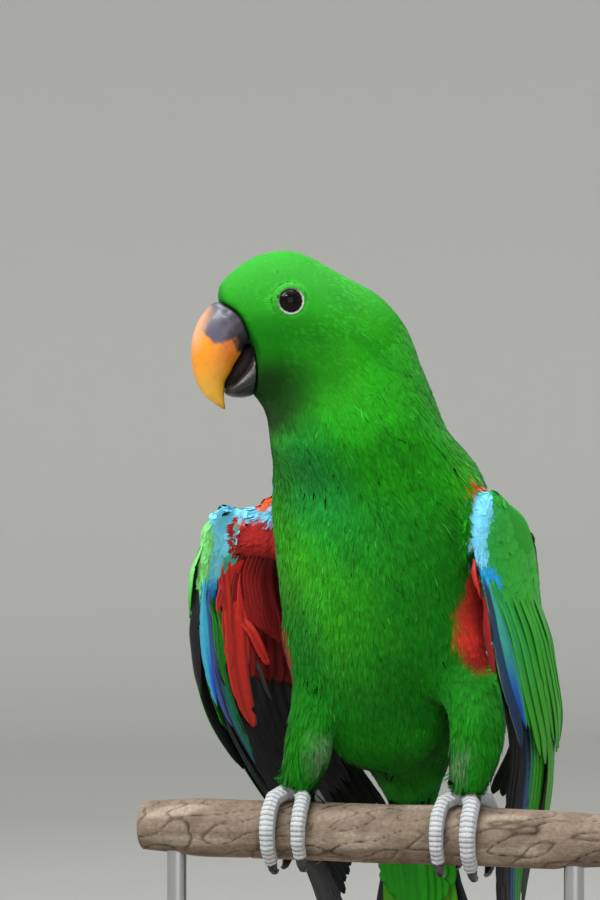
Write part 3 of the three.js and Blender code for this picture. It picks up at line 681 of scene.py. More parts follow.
def markings(points, normals, wing, along, behind):
    """The plumage's colour at each point of the skin, with painted light and shade."""
    forward, up, _ = head_places(points)
    x, y, z = points.T
    body = wing == 0
    colour = blend(GREEN, TEAL_GREEN, 0.35 * smooth(0.55, 0.95, waves(points, 46, 3)))
    colour = blend(colour, YELLOW_GREEN, 0.2 * smooth(0.55, 0.95, waves(points, 38, 4)))
    mottle = mix(0.5, 0.35, smooth(235, 255, z)) * smooth(0.5, 0.9, waves(points, 17, 5))
    colour = blend(colour, DEEP_GREEN, mottle)
    # Painted light: yellower on the upper body where it faces the bird's right.
    rightward, leftward = normals @ [-0.9, -0.4, 0], normals @ [0.85, -0.5, 0]
    lit = 0.22 * smooth(0.5, 0.95, rightward) * smooth(290, 270, z) * smooth(222, 246, z)
    colour = blend(colour, YELLOW_GREEN, lit)
    colour = blend(colour, TEAL_GREEN, 0.5 * near(points, [-16, -42, 288], 26, 8, (1, 1, 0.8)))
    # Painted shade low on the front of the body.
    colour = blend(colour, DEEP_GREEN, 0.6 * smooth(232, 196, z) * smooth(20, 6, y) * body)
    # Painted shade where the body faces the bird's left and forward, and low where it faces its right.
    darker = np.maximum(0.75 * smooth(0.1, 0.8, leftward) * smooth(292, 268, z) * smooth(183, 195, z),
                        0.6 * smooth(0.3, 0.8, rightward) * smooth(252, 226, z) * smooth(186, 200, z))
    colour = blend(colour, DEEP_GREEN, darker * body)
    # Painted light and shade on the head: lighter on the crown, darker on the cheek below the eye, and
    # darkest on the chin as a painted shadow under the bill.
    head = near(points, EYES_MIDDLE, 62, 34)
    colour = blend(colour, BRIGHT_GREEN, head * smooth(-16, 16, up) * 0.8)
    cheek = smooth(-2, -16, up) * smooth(-48, -30, up) * smooth(-26, -8, forward)
    colour = blend(colour, DEEP_GREEN, 0.6 * cheek * head)
    chin = smooth(-18, -32, up) * smooth(-9, 8, forward) * smooth(-52, -43, up)
    colour = blend(colour, CHIN_SHADOW_GREEN, 0.92 * chin)
    # The flanks are red under the wings, the right one deeper. The left one is painted brighter than scarlet
    # above, as painted light in the shade of the wing, and darker towards the bottom.
    waver = 3 * waves(points, 12, 9)
    border = np.interp(z, [204, 211, 219, 226, 233, 240, 248], [44, 40.5, 37.5, 35.5, 35.5, 37.5, 41]) - 0.9
    border = np.where(x > 0, border, 35.4)
    flank = smooth(border - 2, border + 2, np.abs(x) + 0.3 * waver)
    flank = flank * smooth(205, 212, z + waver) * smooth(250, 247, z + waver)
    flank *= np.maximum(x > 0, smooth(231, 226, z))
    flank *= smooth(-29, -25, y + waver) * smooth(40, 30, y)
    left_red = blend(SCARLET * 0.3, SCARLET * 1.2, smooth(207, 225, z))
    flank_red = np.where(x[:, None] > 0, left_red, mix(SCARLET, DARK_RED, 0.7))
    colour = blend(colour, flank_red, flank * body)
    arm = smooth(236, 241, z) * smooth(292, 286, z) * body
    arm *= np.where(x > 0, smooth(43, 47, x), smooth(39, 43, -x) * smooth(-20, -15, y))
    hidden = blend(SCARLET, DARK_RED, np.maximum(smooth(-10, 8, y), 0.65 * (x < 0)))
    hidden = blend(hidden, TURQUOISE, smooth(264.5, 266.5, z + 2 * waves(points, 8, 10)))
    outside = (x > 0) * smooth(-16, -11, y)
    colour = blend(colour, blend(hidden, GREEN, outside), arm)
    for place, shade in (([41, -29, 177], GREY_DOWN), ([-19, -26, 178], GREY_DOWN),
                         ([32, -25, 167], TEAL_GREEN)):
        colour = blend(colour, shade, 0.4 * near(points, place, 7, 1, (1, 1, 0.55)) * body)
    outer, inner = np.abs(wing) == 2, np.abs(wing) == 1
    front = behind + 2.5 * (waves(points, 8, 6) - 0.5)
    on_left = wing > 0
    # The outer faces are bright green, with painted highlight green near the right wing's front edge.
    colour = blend(colour, blend(BRIGHT_GREEN, HIGHLIGHT_GREEN, smooth(26, 8, behind) * ~on_left), 0.75 * outer)
    colour = blend(colour, TEAL_GREEN, 0.5 * outer * on_left * smooth(20, 8, behind))
    colour = blend(colour, blend(GREEN, TEAL_GREEN, smooth(0.3, 0.6, waves(points, 13, 14))), inner)
    start = np.interp(along, [0, 12, 19, 27, 36, 42, 50, 60], [16.5, 15.5, 13.5, 15, 11, 6.5, 14, 18])
    lining = smooth(start - 1, start + 1, front) * inner * smooth(2.5, 5, along)
    colour = blend(colour, blend(SCARLET, DARK_RED, smooth(28, 40, behind)), lining)
    # On the right wing, a painted highlight green on its lit front edge, then turquoise, teal and scarlet
    # follow one another from the edge inwards.
    across = points @ [0.94, 0.342, 0]
    torn = across + 1.6 * (waves(points, 5, 15) - 0.5)
    highlight_line = np.interp(z, [235, 239, 244, 250, 254, 263, 266],
                          [-73.6, -73.2, -71, -69.7, -68.9, -69.3, -68])
    teal_line = np.interp(z, [235, 241, 247, 253, 258, 263, 266],
                          [-67.6, -66.7, -64.6, -63.7, -59.5, -58.6, -56.9])
    red_line = np.interp(z, [235, 238, 247, 254, 260, 266], [-67.6, -63.7, -63.7, -58.2, -57.9, -56.9])
    # The turquoise here is painted a tenth brighter than its own colour, as painted light on the shaded inner
    # face.
    blue = blend(TURQUOISE * 1.1, SKY_BLUE, smooth(246, 239, z))
    red = blend(SCARLET, DARK_RED, smooth(24, 38, behind))
    bands = blend(HIGHLIGHT_GREEN, blue, smooth(highlight_line - 0.5, highlight_line + 0.5, torn))
    bands = blend(bands, TEAL_GREEN, 0.75 * smooth(teal_line - 0.7, teal_line + 0.7, torn))
    bands = blend(bands, red, smooth(red_line - 0.1, red_line + 0.1, torn))
    bands = blend(bands, TURQUOISE * 1.1, smooth(263, 264.5, z + waves(points, 7, 10)))
    banded = (wing == -1) | ((wing == -2) & ((behind < 7) | (z > 262)))
    colour = blend(colour, bands, banded * smooth(227, 230, z))
    # The bend of the left wing is turquoise as far as it is seen from the front, with a bluer patch below.
    ragged = 1.1 * (waves(points, 6, 15) - 0.5)
    near_side = np.interp(z, [247, 252, 258, 266, 275], [34.4, 33.7, 32.5, 31.8, 32.6])
    far_side = np.interp(z, [248, 251, 258, 267, 272, 276], [39.5, 39.8, 39.4, 41, 42.6, 40.2]) + ragged
    bend = smooth(near_side - 0.6, near_side + 0.6, across) * smooth(far_side + 1, far_side - 1, across)
    bend *= smooth(245, 247, z + ragged) * smooth(281, 278, z) * smooth(-5, -9, y)
    patch = smooth(36.5, 38, across) * smooth(45.4, 44, across + ragged)
    patch = patch * smooth(235.5, 237.5, z + ragged) * smooth(249, 247, z)
    rimmed = blend(PALE_BLUE, TURQUOISE, smooth(near_side + 0.3, near_side + 1.1, across))
    colour = blend(colour, rimmed, bend * (x > 0))
    colour = blend(colour, SKY_BLUE, patch * (wing == 2))
    for place in ([43, -17, 281.5], [-48, 3, 272]):
        colour = blend(colour, ORANGE_RED, near(points, place, 8.5, 6) * body)
    return colour


points, normals = mesh_points(skin.data)
on_wing, along, behind = read_wing(points)
fine = smooth(78, 40, from_eyes(points))
# The skin's tint is painted darker under the body's coat, as painted shade between the feathers, and kept
# fuller near the eyes and on the wings.
shade = np.maximum.reduce([mix(0.42, 0.75, fine), smooth(12, 8, eye_gap(points)), 0.8 * (on_wing != 0)])
depth = mix(1.9, 0.8, fine)
depth[on_wing != 0] = 0.5
move_points(skin.data, points - normals * depth[:, None])
points, normals = mesh_points(skin.data)
set_tint(skin.data, markings(points, normals, on_wing, along, behind) * shade[:, None])
activate(skin)
bpy.ops.object.mode_set(mode="EDIT")
bpy.ops.mesh.select_all(action="SELECT")
bpy.ops.uv.smart_project(angle_limit=math.radians(66), island_margin=0.004)
bpy.ops.object.mode_set(mode="OBJECT")
skin.data.uv_layers.active.name = "OFBake"
dress(skin, skin_finish, "green_plumage", *FLESH_NODES)
print("skin box:", np.round(points.min(axis=0), 1), np.round(points.max(axis=0), 1))

# %% [markdown]
# ## Small feathers
# A contour feather is a soft leaf whose barbs come apart towards the tip, which gives the breast its
# silky, hair-like look. Tens of thousands of them would be far too many to set by hand, so a leaf of 26 to
# 38 triangles is drawn once for each kind and its copies are worked out together as arrays, each bent over
# the skin along the way the feathers lie. They are real, closed mesh, because hair strands would be lost
# when the model is handed on. On the face they are a few millimetres long and on the body over ten.

# %% Lie of the plumage
# Each row is a place and the way the feathers point there: in the head's frame, forward, up and left, or in
# the bird's own, x, y and z. The rows of a side count for the right side too, turned over.
HEAD_LIE = [
    (27, 10, 0, -0.5, 0.85, 0), (12, 20, 0, -1, 0.1, 0), (-12, 20, 0, -1, -0.35, 0),
    (-30, 8, 0, -0.7, -0.7, 0), (-44, -12, 0, -0.4, -0.9, 0), (20, -18, 0, -0.8, -0.6, 0),
    (14, -34, 0, -0.6, -0.8, 0), (8, -48, 0, -0.2, -1, 0), (6, -60, 0, 0, -1, 0),
]
HEAD_SIDE_LIE = [
    (22, -2, 12, -1, 0, 0.25), (8, 9, 16, -1, 0.1, 0), (-8, -2, 20, -1, -0.35, 0),
    (6, -18, 19, -0.85, -0.5, 0), (-16, -18, 24, -0.7, -0.75, 0), (-6, -42, 27, -0.3, -1, 0),
    (-30, -30, 24, -0.5, -0.85, 0),
]
BODY_SIDE_LIE = [
    (22, -36, 268, 0.35, -0.1, -1), (44, 2, 262, 0.3, 0.2, -1), (26, -34, 222, 0.08, 0.1, -1),
    (44, 6, 215, 0, 0.35, -1), (24, 20, 180, -0.3, 0.5, -1), (30, -14, 180, 0.1, 0.1, -1),
    (36, -24, 163, 0, 0, -1), (36, -6, 163, 0, 0, -1), (44, -15, 166, 0, 0, -1), (28, -15, 166, 0, 0, -1),
    (50, -8, 264, 1, -0.1, -0.35),
]
BODY_LIE = [
    (18, -38, 258, 0.6, 0.15, -1), (33, -28, 264, 0.6, 0.3, -1), (0, -44, 262, 0, 0.05, -1),
    (0, -38, 215, 0, 0.2, -1), (0, -18, 176, 0, 0.7, -1), (0, 14, 152, 0, 0.8, -0.8),
    (0, 36, 262, 0, 0.35, -1), (0, 54, 205, 0, 0.15, -1), (0, 48, 165, 0, 0.2, -1),
]


def head_lie(rows, side=1):
    return [(head_point(ahead, up, left * side),
             way_ahead * FORWARD + way_up * UPWARD + way_left * side * LEFTWARD)
            for ahead, up, left, way_ahead, way_up, way_left in rows]


def body_lie(rows, side=1):
    turned = np.array([side, 1.0, 1.0])
    return [(np.array(row[:3]) * turned, np.array(row[3:]) * turned) for row in rows]


LIE = head_lie(HEAD_LIE)
for side in (1, -1):
    LIE += head_lie(HEAD_SIDE_LIE, side) + body_lie(BODY_SIDE_LIE, side)
LIE += body_lie(BODY_LIE)
LIE_PLACES = np.array([place for place, _ in LIE])
LIE_WAYS = unit(np.array([way for _, way in LIE]))
BATCH = 20000  # places worked out at a time, to spare memory


def lie(points, normals, wing, along, behind):
    """The way the feathers point at each place of the skin, flat on it."""
    ways = np.zeros_like(points)
    for begin in range(0, len(points), BATCH):
        part = slice(begin, begin + BATCH)
        apart = np.linalg.norm(points[part, None] - LIE_PLACES[None], axis=2)
        weight = 1 / (apart ** 2 + 25) ** 1.7
        ways[part] = weight @ LIE_WAYS
    for side, name in ((1, "left"), (-1, "right")):
        there = np.sign(wing) == side
        if there.any():
            ahead = wing_point(WINGS[name], along[there] + 3, behind[there] + 0.25, 0)
            ways[there] = unit(ahead - wing_point(WINGS[name], along[there] - 3, behind[there] - 0.25, 0))
    ways = unit(ways)
    swirl = waves(points, 34, 8) - 0.5
    ways = ways + 0.35 * swirl[:, None] * np.cross(normals, ways)
    return unit(ways - normals * np.sum(ways * normals, axis=1, keepdims=True))


# %% Roots spread over the skin
BILL_EDGE = np.array([
    [29.3, 8], [29, 1], [27.5, -1.4], [24.5, -3.3], [21.9, -6.2], [20.3, -9.1], [18.4, -13],
    [16.6, -17], [15.2, -20], [14.9, -24], [15, -31], [15.2, -45]])


def before_bill(points):
    """How far each point lies behind the edge where the bill begins, in millimetres."""
    forward, up, _ = head_places(points)
    edge = np.interp(-up, -BILL_EDGE[:, 1], BILL_EDGE[:, 0])
    return np.where(up > -36, edge - forward, 20)


def coat_sizes(points, wing, behind):
    """The spacing, length, half breadth and height of the feathers at each place, in millimetres."""
    fine = smooth(80, 36, from_eyes(points))
    gap = eye_gap(points)
    spacing, length = mix(1.62, 0.92, fine), mix(14, 7.6, fine)
    half, lift = mix(1.9, 0.88, fine), mix(1.3, 0.27, fine)
    thigh = smooth(200, 188, points[:, 2]) * smooth(24, 30, np.abs(points[:, 0]))
    ankle = smooth(170, 160, points[:, 2]) * thigh
    lift = lift * (1 + 0.6 * thigh - 1.1 * ankle)
    length = length * mix(1, 0.3, ankle)
    half = half * mix(1, 0.7, ankle)
    face = np.minimum(smooth(0, 9, before_bill(points)), smooth(6.5, 11, gap))
    spacing = spacing * mix(0.8, 1, face)
    length = length * mix(0.42, 1, face) * mix(0.5, 1, smooth(7, 10, gap))
    half, lift = half * mix(0.6, 1, face), lift * mix(0.6, 1, face)
    arm = smooth(36, 41, np.abs(points[:, 0]))
    arm = arm * smooth(236, 242, points[:, 2]) * smooth(290, 284, points[:, 2])
    arm = np.maximum(arm, near(points, [40, -13, 209], 17, 8))
    length, half, lift = length * mix(1, 0.5, arm), half * mix(1, 1.2, arm), lift * mix(1, 0.4, arm)
    covert = wing != 0
    edge = smooth(16, 5, behind)
    spacing = np.where(covert, mix(1.9, 1.3, edge), spacing)
    length = np.where(covert, mix(9.5, 5, edge), length)
    half = np.where(covert, mix(2.9, 1.6, edge), half)
    lift = np.where(covert, mix(0.6, 0.4, edge), lift)
    turned = covert * np.maximum(near(points, [54, 2, 269], 17, 9), near(points, [-63, -8, 268], 12, 8))
    length, lift = length * mix(1, 0.45, turned), lift * mix(1, 0.3, turned)
    return spacing, length, half, lift


def spread_roots(mesh, crowding=2.6):
    """Random places on the skin, thinned until none is nearer to another than its spacing."""
    mesh.calc_loop_triangles()
    count = len(mesh.loop_triangles)
    corners, loops = np.empty(count * 3, dtype=np.int32), np.empty(count * 3, dtype=np.int32)
    mesh.loop_triangles.foreach_get("vertices", corners)
    mesh.loop_triangles.foreach_get("loops", loops)
    corners, loops = corners.reshape(-1, 3), loops.reshape(-1, 3)
    places, normals = mesh_points(mesh)
    chart = np.empty(len(mesh.loops) * 2, dtype=np.float32)
    mesh.uv_layers["OFBake"].data.foreach_get("uv", chart)
    chart = chart.reshape(-1, 2)
    sides = places[corners]
    area = 0.5 * np.linalg.norm(np.cross(sides[:, 1] - sides[:, 0], sides[:, 2] - sides[:, 0]), axis=1)
    centre = sides.mean(axis=1)
    wing, _, behind = read_wing(centre)
    spacing = coat_sizes(centre, wing, behind)[0]
    want = area * crowding / spacing ** 2
    total = int(want.sum())
    chosen = np.sort(random.choice(count, total, p=want / want.sum()))
    weights = random.dirichlet((1, 1, 1), total)
    roots = np.einsum("nk,nkc->nc", weights, sides[chosen])
    upright = unit(np.einsum("nk,nkc->nc", weights, normals[corners[chosen]]))
    chart_places = np.einsum("nk,nkc->nc", weights, chart[loops[chosen]])
    gap = spacing[chosen] * 0.8
    tree = KDTree(total)
    for index, root in enumerate(roots):
        tree.insert(root, index)
    tree.balance()
    kept = np.ones(total, dtype=bool)
    for index in random.permutation(total):
        if kept[index]:
            for _, other, _ in tree.find_range(roots[index], gap[index]):
                if other != index:
                    kept[other] = False
    return roots[kept], upright[kept], chart_places[kept]


roots, upright, chart_places = spread_roots(skin.data)
wing, along, behind = read_wing(roots)
bare = (eye_gap(roots) < 6.2) | (before_bill(roots) < -1.4)
bare |= near(roots, [56, 5, 267], 15, 14) > 0.5  # the sharp edge behind the left shoulder
bare |= (wing != 0) & (along > mix(56, 45, smooth(16, 8, behind)))
bare |= (roots[:, 2] < PERCH_TOP + 6) & (np.abs(np.abs(roots[:, 0]) - 36) < 12) & (roots[:, 1] < 0)
roots, upright, chart_places = roots[~bare], upright[~bare], chart_places[~bare]
wing, along, behind = wing[~bare], along[~bare], behind[~bare]
print("small feathers:", len(roots))

# %% One small feather
SPANS = 3  # stretches in which a small feather bends over the skin
SKIN_REACH = 2.5  # it follows the skin where that is within these millimetres,
SAME_SIDE = 0.3  # and only where its normal there and the skin's agree by at least this
# How light it is from root to tip, where its barbs come apart and where they don't. The darker root is partly
# the duller base of a real feather and partly painted shade where others cover it.
SHADE_PLACES = [0, 0.45, 0.75, 1]
BODY_SHADE = [0.42, 0.74, 0.98, 1.08]
SMOOTH_SHADE = [0.78, 0.92, 1, 1.03]


def leaf(barbs, notch):
    """A small feather's points as shares of its length, half breadth and height, and its triangles."""
    ends = np.linspace(-0.84, 0.84, barbs)
    rim = [(0, 0, 0), (0.25, -0.75, 0), (0.52, -1, 0)]
    for i, end in enumerate(ends):
        rim.append((1 - 0.2 * end * end, end, 0))
        if i + 1 < barbs:
            between = (end + ends[i + 1]) / 2
            rim.append((notch - 0.06 * between * between, between, 0))
    rim += [(0.52, 1, 0), (0.25, 0.75, 0)]
    count = len(rim)
    near, far, under = count, count + 1, count + 2
    points = np.array(rim + [(0.25, 0, 1), (0.5, 0, 1), (0.42, 0, -0.5)])
    faces = [(0, 1, near), (1, 2, far), (1, far, near), (count - 1, 0, near),
             (count - 2, count - 1, near), (count - 2, near, far)]
    faces += [(i, i + 1, far) for i in range(2, count - 2)]
    faces += [((i + 1) % count, i, under) for i in range(count)]
    return points, np.array(faces)


def drape(surface, roots, upright, ways, length, guide):
    """Each feather's middle line, bent over the skin, with the skin's normal and the way across there."""
    places, normals, acrosses = [roots], [upright], [np.cross(upright, ways)]
    place, normal, way = roots, upright, ways
    for _ in range(SPANS):
        aim = place + way * (length / SPANS)[:, None]
        found = [surface.find_nearest(point) for point in aim]
        facing = np.array([hit[1] for hit in found])
        near = np.array([hit[3] for hit in found]) < SKIN_REACH
        near &= np.sum(facing * normal, axis=1) > SAME_SIDE
        place = np.where(near[:, None], np.array([hit[0] for hit in found]), aim)
        normal = np.where(near[:, None], facing, normal)
        normal = unit(normal + normals[-1])
        way = unit(way + 0.25 * guide)
        way = unit(way - normal * np.sum(way * normal, axis=1, keepdims=True))
        places.append(place)
        normals.append(normal)
        acrosses.append(np.cross(normal, way))
    return np.stack(places, 1), np.stack(normals, 1), np.stack(acrosses, 1)


def grow(shape, spine, half, lift, crown, length, colour, chart_places, loose):
    """All copies of one small feather, as points, faces, colours, places on the skin's chart and the
    normals to shade them by, which are mostly the skin's. That gives the coat its velvety evenness.
    loose runs from 0 for a smooth feather to 1 for one whose barbs come apart."""
    points, faces = shape
    middle, normals, acrosses = spine
    share, across, height = points.T
    step = share * SPANS
    low = np.minimum(step.astype(int), SPANS - 1)
    part = (step - low)[None, :, None]
    at = lambda levels: levels[:, low] * (1 - part) + levels[:, low + 1] * part
    count, corners = len(middle), len(points)
    tips = share > 0.7
    wander = random.normal(size=(count, corners, 2)) * tips[None, :, None]
    ahead = unit(middle[:, 1:] - middle[:, :-1])[:, low]
    level = lift[:, None] * share[None] ** 0.85 + crown[:, None] * height[None] * 0.5 - 0.25
    level = level + lift[:, None] * 0.1 * random.normal(size=(count, corners)) * tips
    places = at(middle) + at(normals) * level[..., None]
    places += at(acrosses) * (half[:, None] * (across[None] + 0.1 * wander[..., 0]))[..., None]
    places += ahead * (length[:, None] * 0.05 * wander[..., 1])[..., None]
    strand = random.normal(size=(count, corners))
    strand[:, share < 0.6] *= 0.4
    smooth_tone = np.interp(share, SHADE_PLACES, SMOOTH_SHADE)[None]
    body_tone = np.interp(share, SHADE_PLACES, BODY_SHADE)[None]
    grain = mix(0.06, 0.15, loose)[:, None]
    tone = mix(smooth_tone, body_tone, loose[:, None]) * (1 + grain * strand)
    tone = tone * (1 + 0.5 * grain * random.normal(size=(count, 1)))
    # Painted shade in the clefts between the barbs' tips.
    notches = (share > 0.45) & (share < 0.68) & (height == 0) & (np.abs(across) < 0.95)
    tone[:, notches] *= 1 - 2.2 * grain
    tint = np.clip(colour[:, None] * tone[..., None], 0, 1)
    patch = np.stack([across * 0.0014, (share - 0.5) * 0.003], axis=-1)
    chart = chart_places[:, None] + patch[None]
    facing = at(normals) + at(acrosses) * (0.16 * across[None, :, None]) - 0.06 * ahead
    facing = unit(facing) * np.where(height < 0, -1, 1)[None, :, None]
    offsets = (np.arange(count) * corners)[:, None, None]
    return (places.reshape(-1, 3), (faces[None] + offsets).reshape(-1, 3), tint.reshape(-1, 3),
            chart.reshape(-1, 2), facing.reshape(-1, 3))


# %% Lay the small feathers
skin.data.calc_loop_triangles()
skin_points = mesh_points(skin.data)[0]
skin_faces = np.empty(len(skin.data.loop_triangles) * 3, dtype=np.int32)
skin.data.loop_triangles.foreach_get("vertices", skin_faces)
surface = BVHTree.FromPolygons([Vector(p) for p in skin_points], skin_faces.reshape(-1, 3).tolist())
ways = lie(roots, upright, wing, along, behind)
turn = random.normal(scale=0.13, size=len(roots))
guide = ways
ways = unit(ways + turn[:, None] * np.cross(upright, ways))
_, length, half, lift = coat_sizes(roots, wing, behind)
length = length * random.uniform(0.82, 1.18, len(roots))
half = half * random.uniform(0.85, 1.15, len(roots))
lift = lift * random.uniform(0.75, 1.15, len(roots))
colour = markings(roots, upright, wing, along, behind)
openness = smooth(26, 66, from_eyes(roots)) * (wing == 0)
on_head = (wing == 0) & (from_eyes(roots) < 44)
REGIONS = {
    "coat_face": on_head & (head_places(roots)[0] > 4),
    "coat_head": on_head & (head_places(roots)[0] <= 4),
    "coat_wing_left": wing > 0,
    "coat_wing_right": wing < 0,
}
taken = on_head | (wing != 0)
REGIONS["coat_thighs"] = ~taken & (roots[:, 2] < 205) & (np.abs(roots[:, 0]) > 20) & (roots[:, 1] < 22)
taken |= REGIONS["coat_thighs"]
for name, low, high in (("coat_neck", 276, 400), ("coat_breast", 222, 276), ("coat_belly", 0, 222)):
    REGIONS[name] = ~taken & (roots[:, 2] >= low) & (roots[:, 2] < high)
FACE_LEAF = leaf(5, 0.7)
SOFT_LEAF = leaf(7, 0.52)
COVERT_LEAF = leaf(4, 0.9)
SOFT_REGIONS = ("coat_thighs", "coat_neck", "coat_breast", "coat_belly")
coat_total = 0
for name, there in REGIONS.items():
    shape = COVERT_LEAF if "wing" in name else SOFT_LEAF if name in SOFT_REGIONS else FACE_LEAF
    spine = drape(surface, roots[there], upright[there], ways[there], length[there], guide[there])
    crown = np.where(half[there] > 1.4, 0.35, 0.16)
    parts = grow(shape, spine, half[there], lift[there], crown, length[there], colour[there],
                 chart_places[there], openness[there])
    piece = mesh_piece(name, parts[0], parts[1], parts[2], {"OFBake": parts[3]}, parts[4])
    dress(piece, soft_feather, "wing_plumage" if "wing" in name else "green_plumage")
    coat_total += len(parts[1])
    print(name, there.sum(), "feathers,", len(parts[1]), "triangles")
# Here and there a single barb has come loose, and shows as a fine line on the breast: a dark one is painted
# shade, like the shadowed gaps between feathers, and a bright one a painted highlight.
loose_share = 0.07 + 0.13 * near(roots, [26, -34, 260], 34, 14)
loose = (wing == 0) & (from_eyes(roots) > 50) & (np.abs(roots[:, 0]) < 43) & (colour[:, 1] > colour[:, 0])
loose &= random.random(len(roots)) < loose_share
bright = random.random(loose.sum()) < 0.3
strand_turn = random.normal(scale=0.22, size=(loose.sum(), 1))
strand_ways = unit(ways[loose] + strand_turn * np.cross(upright[loose], ways[loose]))
strand_length = length[loose] * random.uniform(0.55, 1.1, loose.sum())
spine = drape(surface, roots[loose], upright[loose], strand_ways, strand_length, strand_ways)
strand_colour = np.where(bright[:, None], blend(colour[loose], HIGHLIGHT_GREEN, 0.12) * 1.25, colour[loose] * 0.36)
parts = grow(leaf(2, 0.86), spine, np.full(loose.sum(), 0.24), lift[loose] * 1.1, np.full(loose.sum(), 0.3),
             strand_length, strand_colour, chart_places[loose], np.zeros(loose.sum()))
piece = mesh_piece("coat_loose_barbs", parts[0], parts[1], parts[2], {"OFBake": parts[3]}, parts[4])
dress(piece, soft_feather, "green_plumage")
coat_total += len(parts[1])
print("small feathers' triangles:", coat_total, "with", loose.sum(), "loose barbs")

# %% [markdown]
# ## Large feathers
# A flight feather is a quill with a vane on each side, the leading one narrower. Folded, the feathers
# overlap like a fan's blades: on the outer face each shows its coloured leading vane, and on the inner
# face its black trailing vane. Each is built as a closed, thin, slightly arched sheet on the wing's own
# surface, with a raised quill and here and there a gap where barbs have parted.

# %% One large feather
# A feather's outline: the share along it, and its breadth there as a share of the broadest.
ROUND_END = [[0, 0.35], [0.08, 0.6], [0.3, 0.92], [0.55, 1], [0.78, 0.97], [0.88, 0.84], [0.95, 0.6],
             [0.985, 0.34], [1, 0.06]]
SLIM_END = [[0, 0.35], [0.1, 0.7], [0.35, 1], [0.6, 0.94], [0.8, 0.74], [0.92, 0.48], [0.98, 0.24], [1, 0.04]]
FEATHER_THICK = 0.36


def vane(place, root, tip, half, tilt=0.0, arch=0.35, lead=0.36, end=ROUND_END, rows=26, columns=6,
         splits=2, droop=0.5):
    """A feather's points by row, face and column, with the share along and across of each. Places are
    millimetres along the surface, back over it and out from it. lead is the leading vane's share."""
    root, tip = np.array(root, dtype=float), np.array(tip, dtype=float)
    run = tip[:2] - root[:2]
    reach = np.linalg.norm(run)
    side = np.array([-run[1], run[0]]) / reach
    share = np.linspace(0, 1, rows + 1) ** 0.9
    across = np.linspace(-1, 1, columns + 1)
    shape = np.array(end)
    breadth = half * np.interp(share, shape[:, 0], shape[:, 1])[:, None]
    breadth = np.where(across[None] < 0, 2 * lead * breadth, 2 * (1 - lead) * breadth)
    gaps = np.ones((rows + 1, 2))
    for _ in range(splits):
        gaps[random.integers(rows // 3, rows - 2), random.integers(0, 2)] -= random.uniform(0.08, 0.3)
    worn = np.where(across[None] < 0, gaps[:, :1], gaps[:, 1:])
    drift = across[None] * breadth * worn
    level = mix(root[2], tip[2], smooth(0, 0.45, share))[:, None] - tilt * drift
    quill = 0.35 * np.exp(-(across[None] / 0.12) ** 2) * (1 - share[:, None])
    level = level + arch * (1 - across[None] ** 2) + quill
    ripple = 0.12 * np.sin(share * 9 + random.uniform(0, 6))
    level = level + (ripple - droop * smooth(0.75, 1, share))[:, None]
    along = root[0] + run[0] * share[:, None] + side[0] * drift
    back = root[1] + run[1] * share[:, None] + side[1] * drift
    grid = np.stack([place(along, back, level + FEATHER_THICK * face) for face in (0.5, -0.5)])
    share = np.broadcast_to(share[:, None], drift.shape)
    across = np.broadcast_to(across[None], drift.shape)
    return grid, share, across, np.stack([drift, share * reach], axis=-1)


def vane_faces(rows, columns):
    """The squares of a feather's two faces and of the rim between them."""
    wide = columns + 1
    count = (rows + 1) * wide
    i, j = np.meshgrid(np.arange(rows), np.arange(columns), indexing="ij")
    a = (i * wide + j).ravel()
    top = np.stack([a, a + wide, a + wide + 1, a + 1], axis=-1)
    rim = np.concatenate([np.arange(wide), np.arange(1, rows + 1) * wide + columns,
                          rows * wide + np.arange(columns - 1, -1, -1), np.arange(rows - 1, 0, -1) * wide])
    after = np.roll(rim, -1)
    edge = np.stack([rim, after, after + count, rim + count], axis=-1)
    return np.concatenate([top, top[:, ::-1] + count, edge])


class Plumes:
    """Gathers large feathers into one piece. Each has a cell of its own on the OFBake map."""

    def __init__(self, cells):
        self.parts, self.cells, self.start = [], cells, 0

    def lay(self, side, colours, place, root, tip, half, **shape):
        grid, share, across, vane_map = vane(place, root, tip, half, **shape)
        rows, columns = grid.shape[1] - 1, grid.shape[2] - 1
        faces = vane_faces(rows, columns)
        faces = faces if side > 0 else faces[:, ::-1]
        tint = np.stack([colours(share, across, 1), colours(share, across, -1)])
        tint = tint * (1 + 0.04 * random.normal()) * (1 + 0.03 * random.normal(size=tint.shape[:3] + (1,)))
        wide = math.ceil(math.sqrt(self.cells / 3))
        tall = math.ceil(self.cells / wide)
        column, row = len(self.parts) % wide, len(self.parts) // wide
        charts = [np.stack([(column + 0.05 + 0.42 * (across + 1) / 2 + 0.47 * face) / wide,
                            (row + 0.04 + 0.92 * share) / tall], axis=-1) for face in (0, 1)]
        self.parts.append((grid.reshape(-1, 3), faces + self.start, np.clip(tint, 0, 1).reshape(-1, 3),
                           np.stack(charts).reshape(-1, 2), np.tile(vane_map.reshape(-1, 2), (2, 1))))
        self.start += grid.size // 3

    def finish(self, name, slot, *nodes):
        points, faces, tint, chart, vane_map = (np.concatenate(part) for part in zip(*self.parts))
        piece = mesh_piece(name, points, faces, tint, {"OFBake": chart, "vane": vane_map})
        dress(piece, flight_feather, slot, *nodes)
        print(name, len(self.parts), "feathers,", 2 * len(faces), "triangles")


# %% Colours of the large feathers


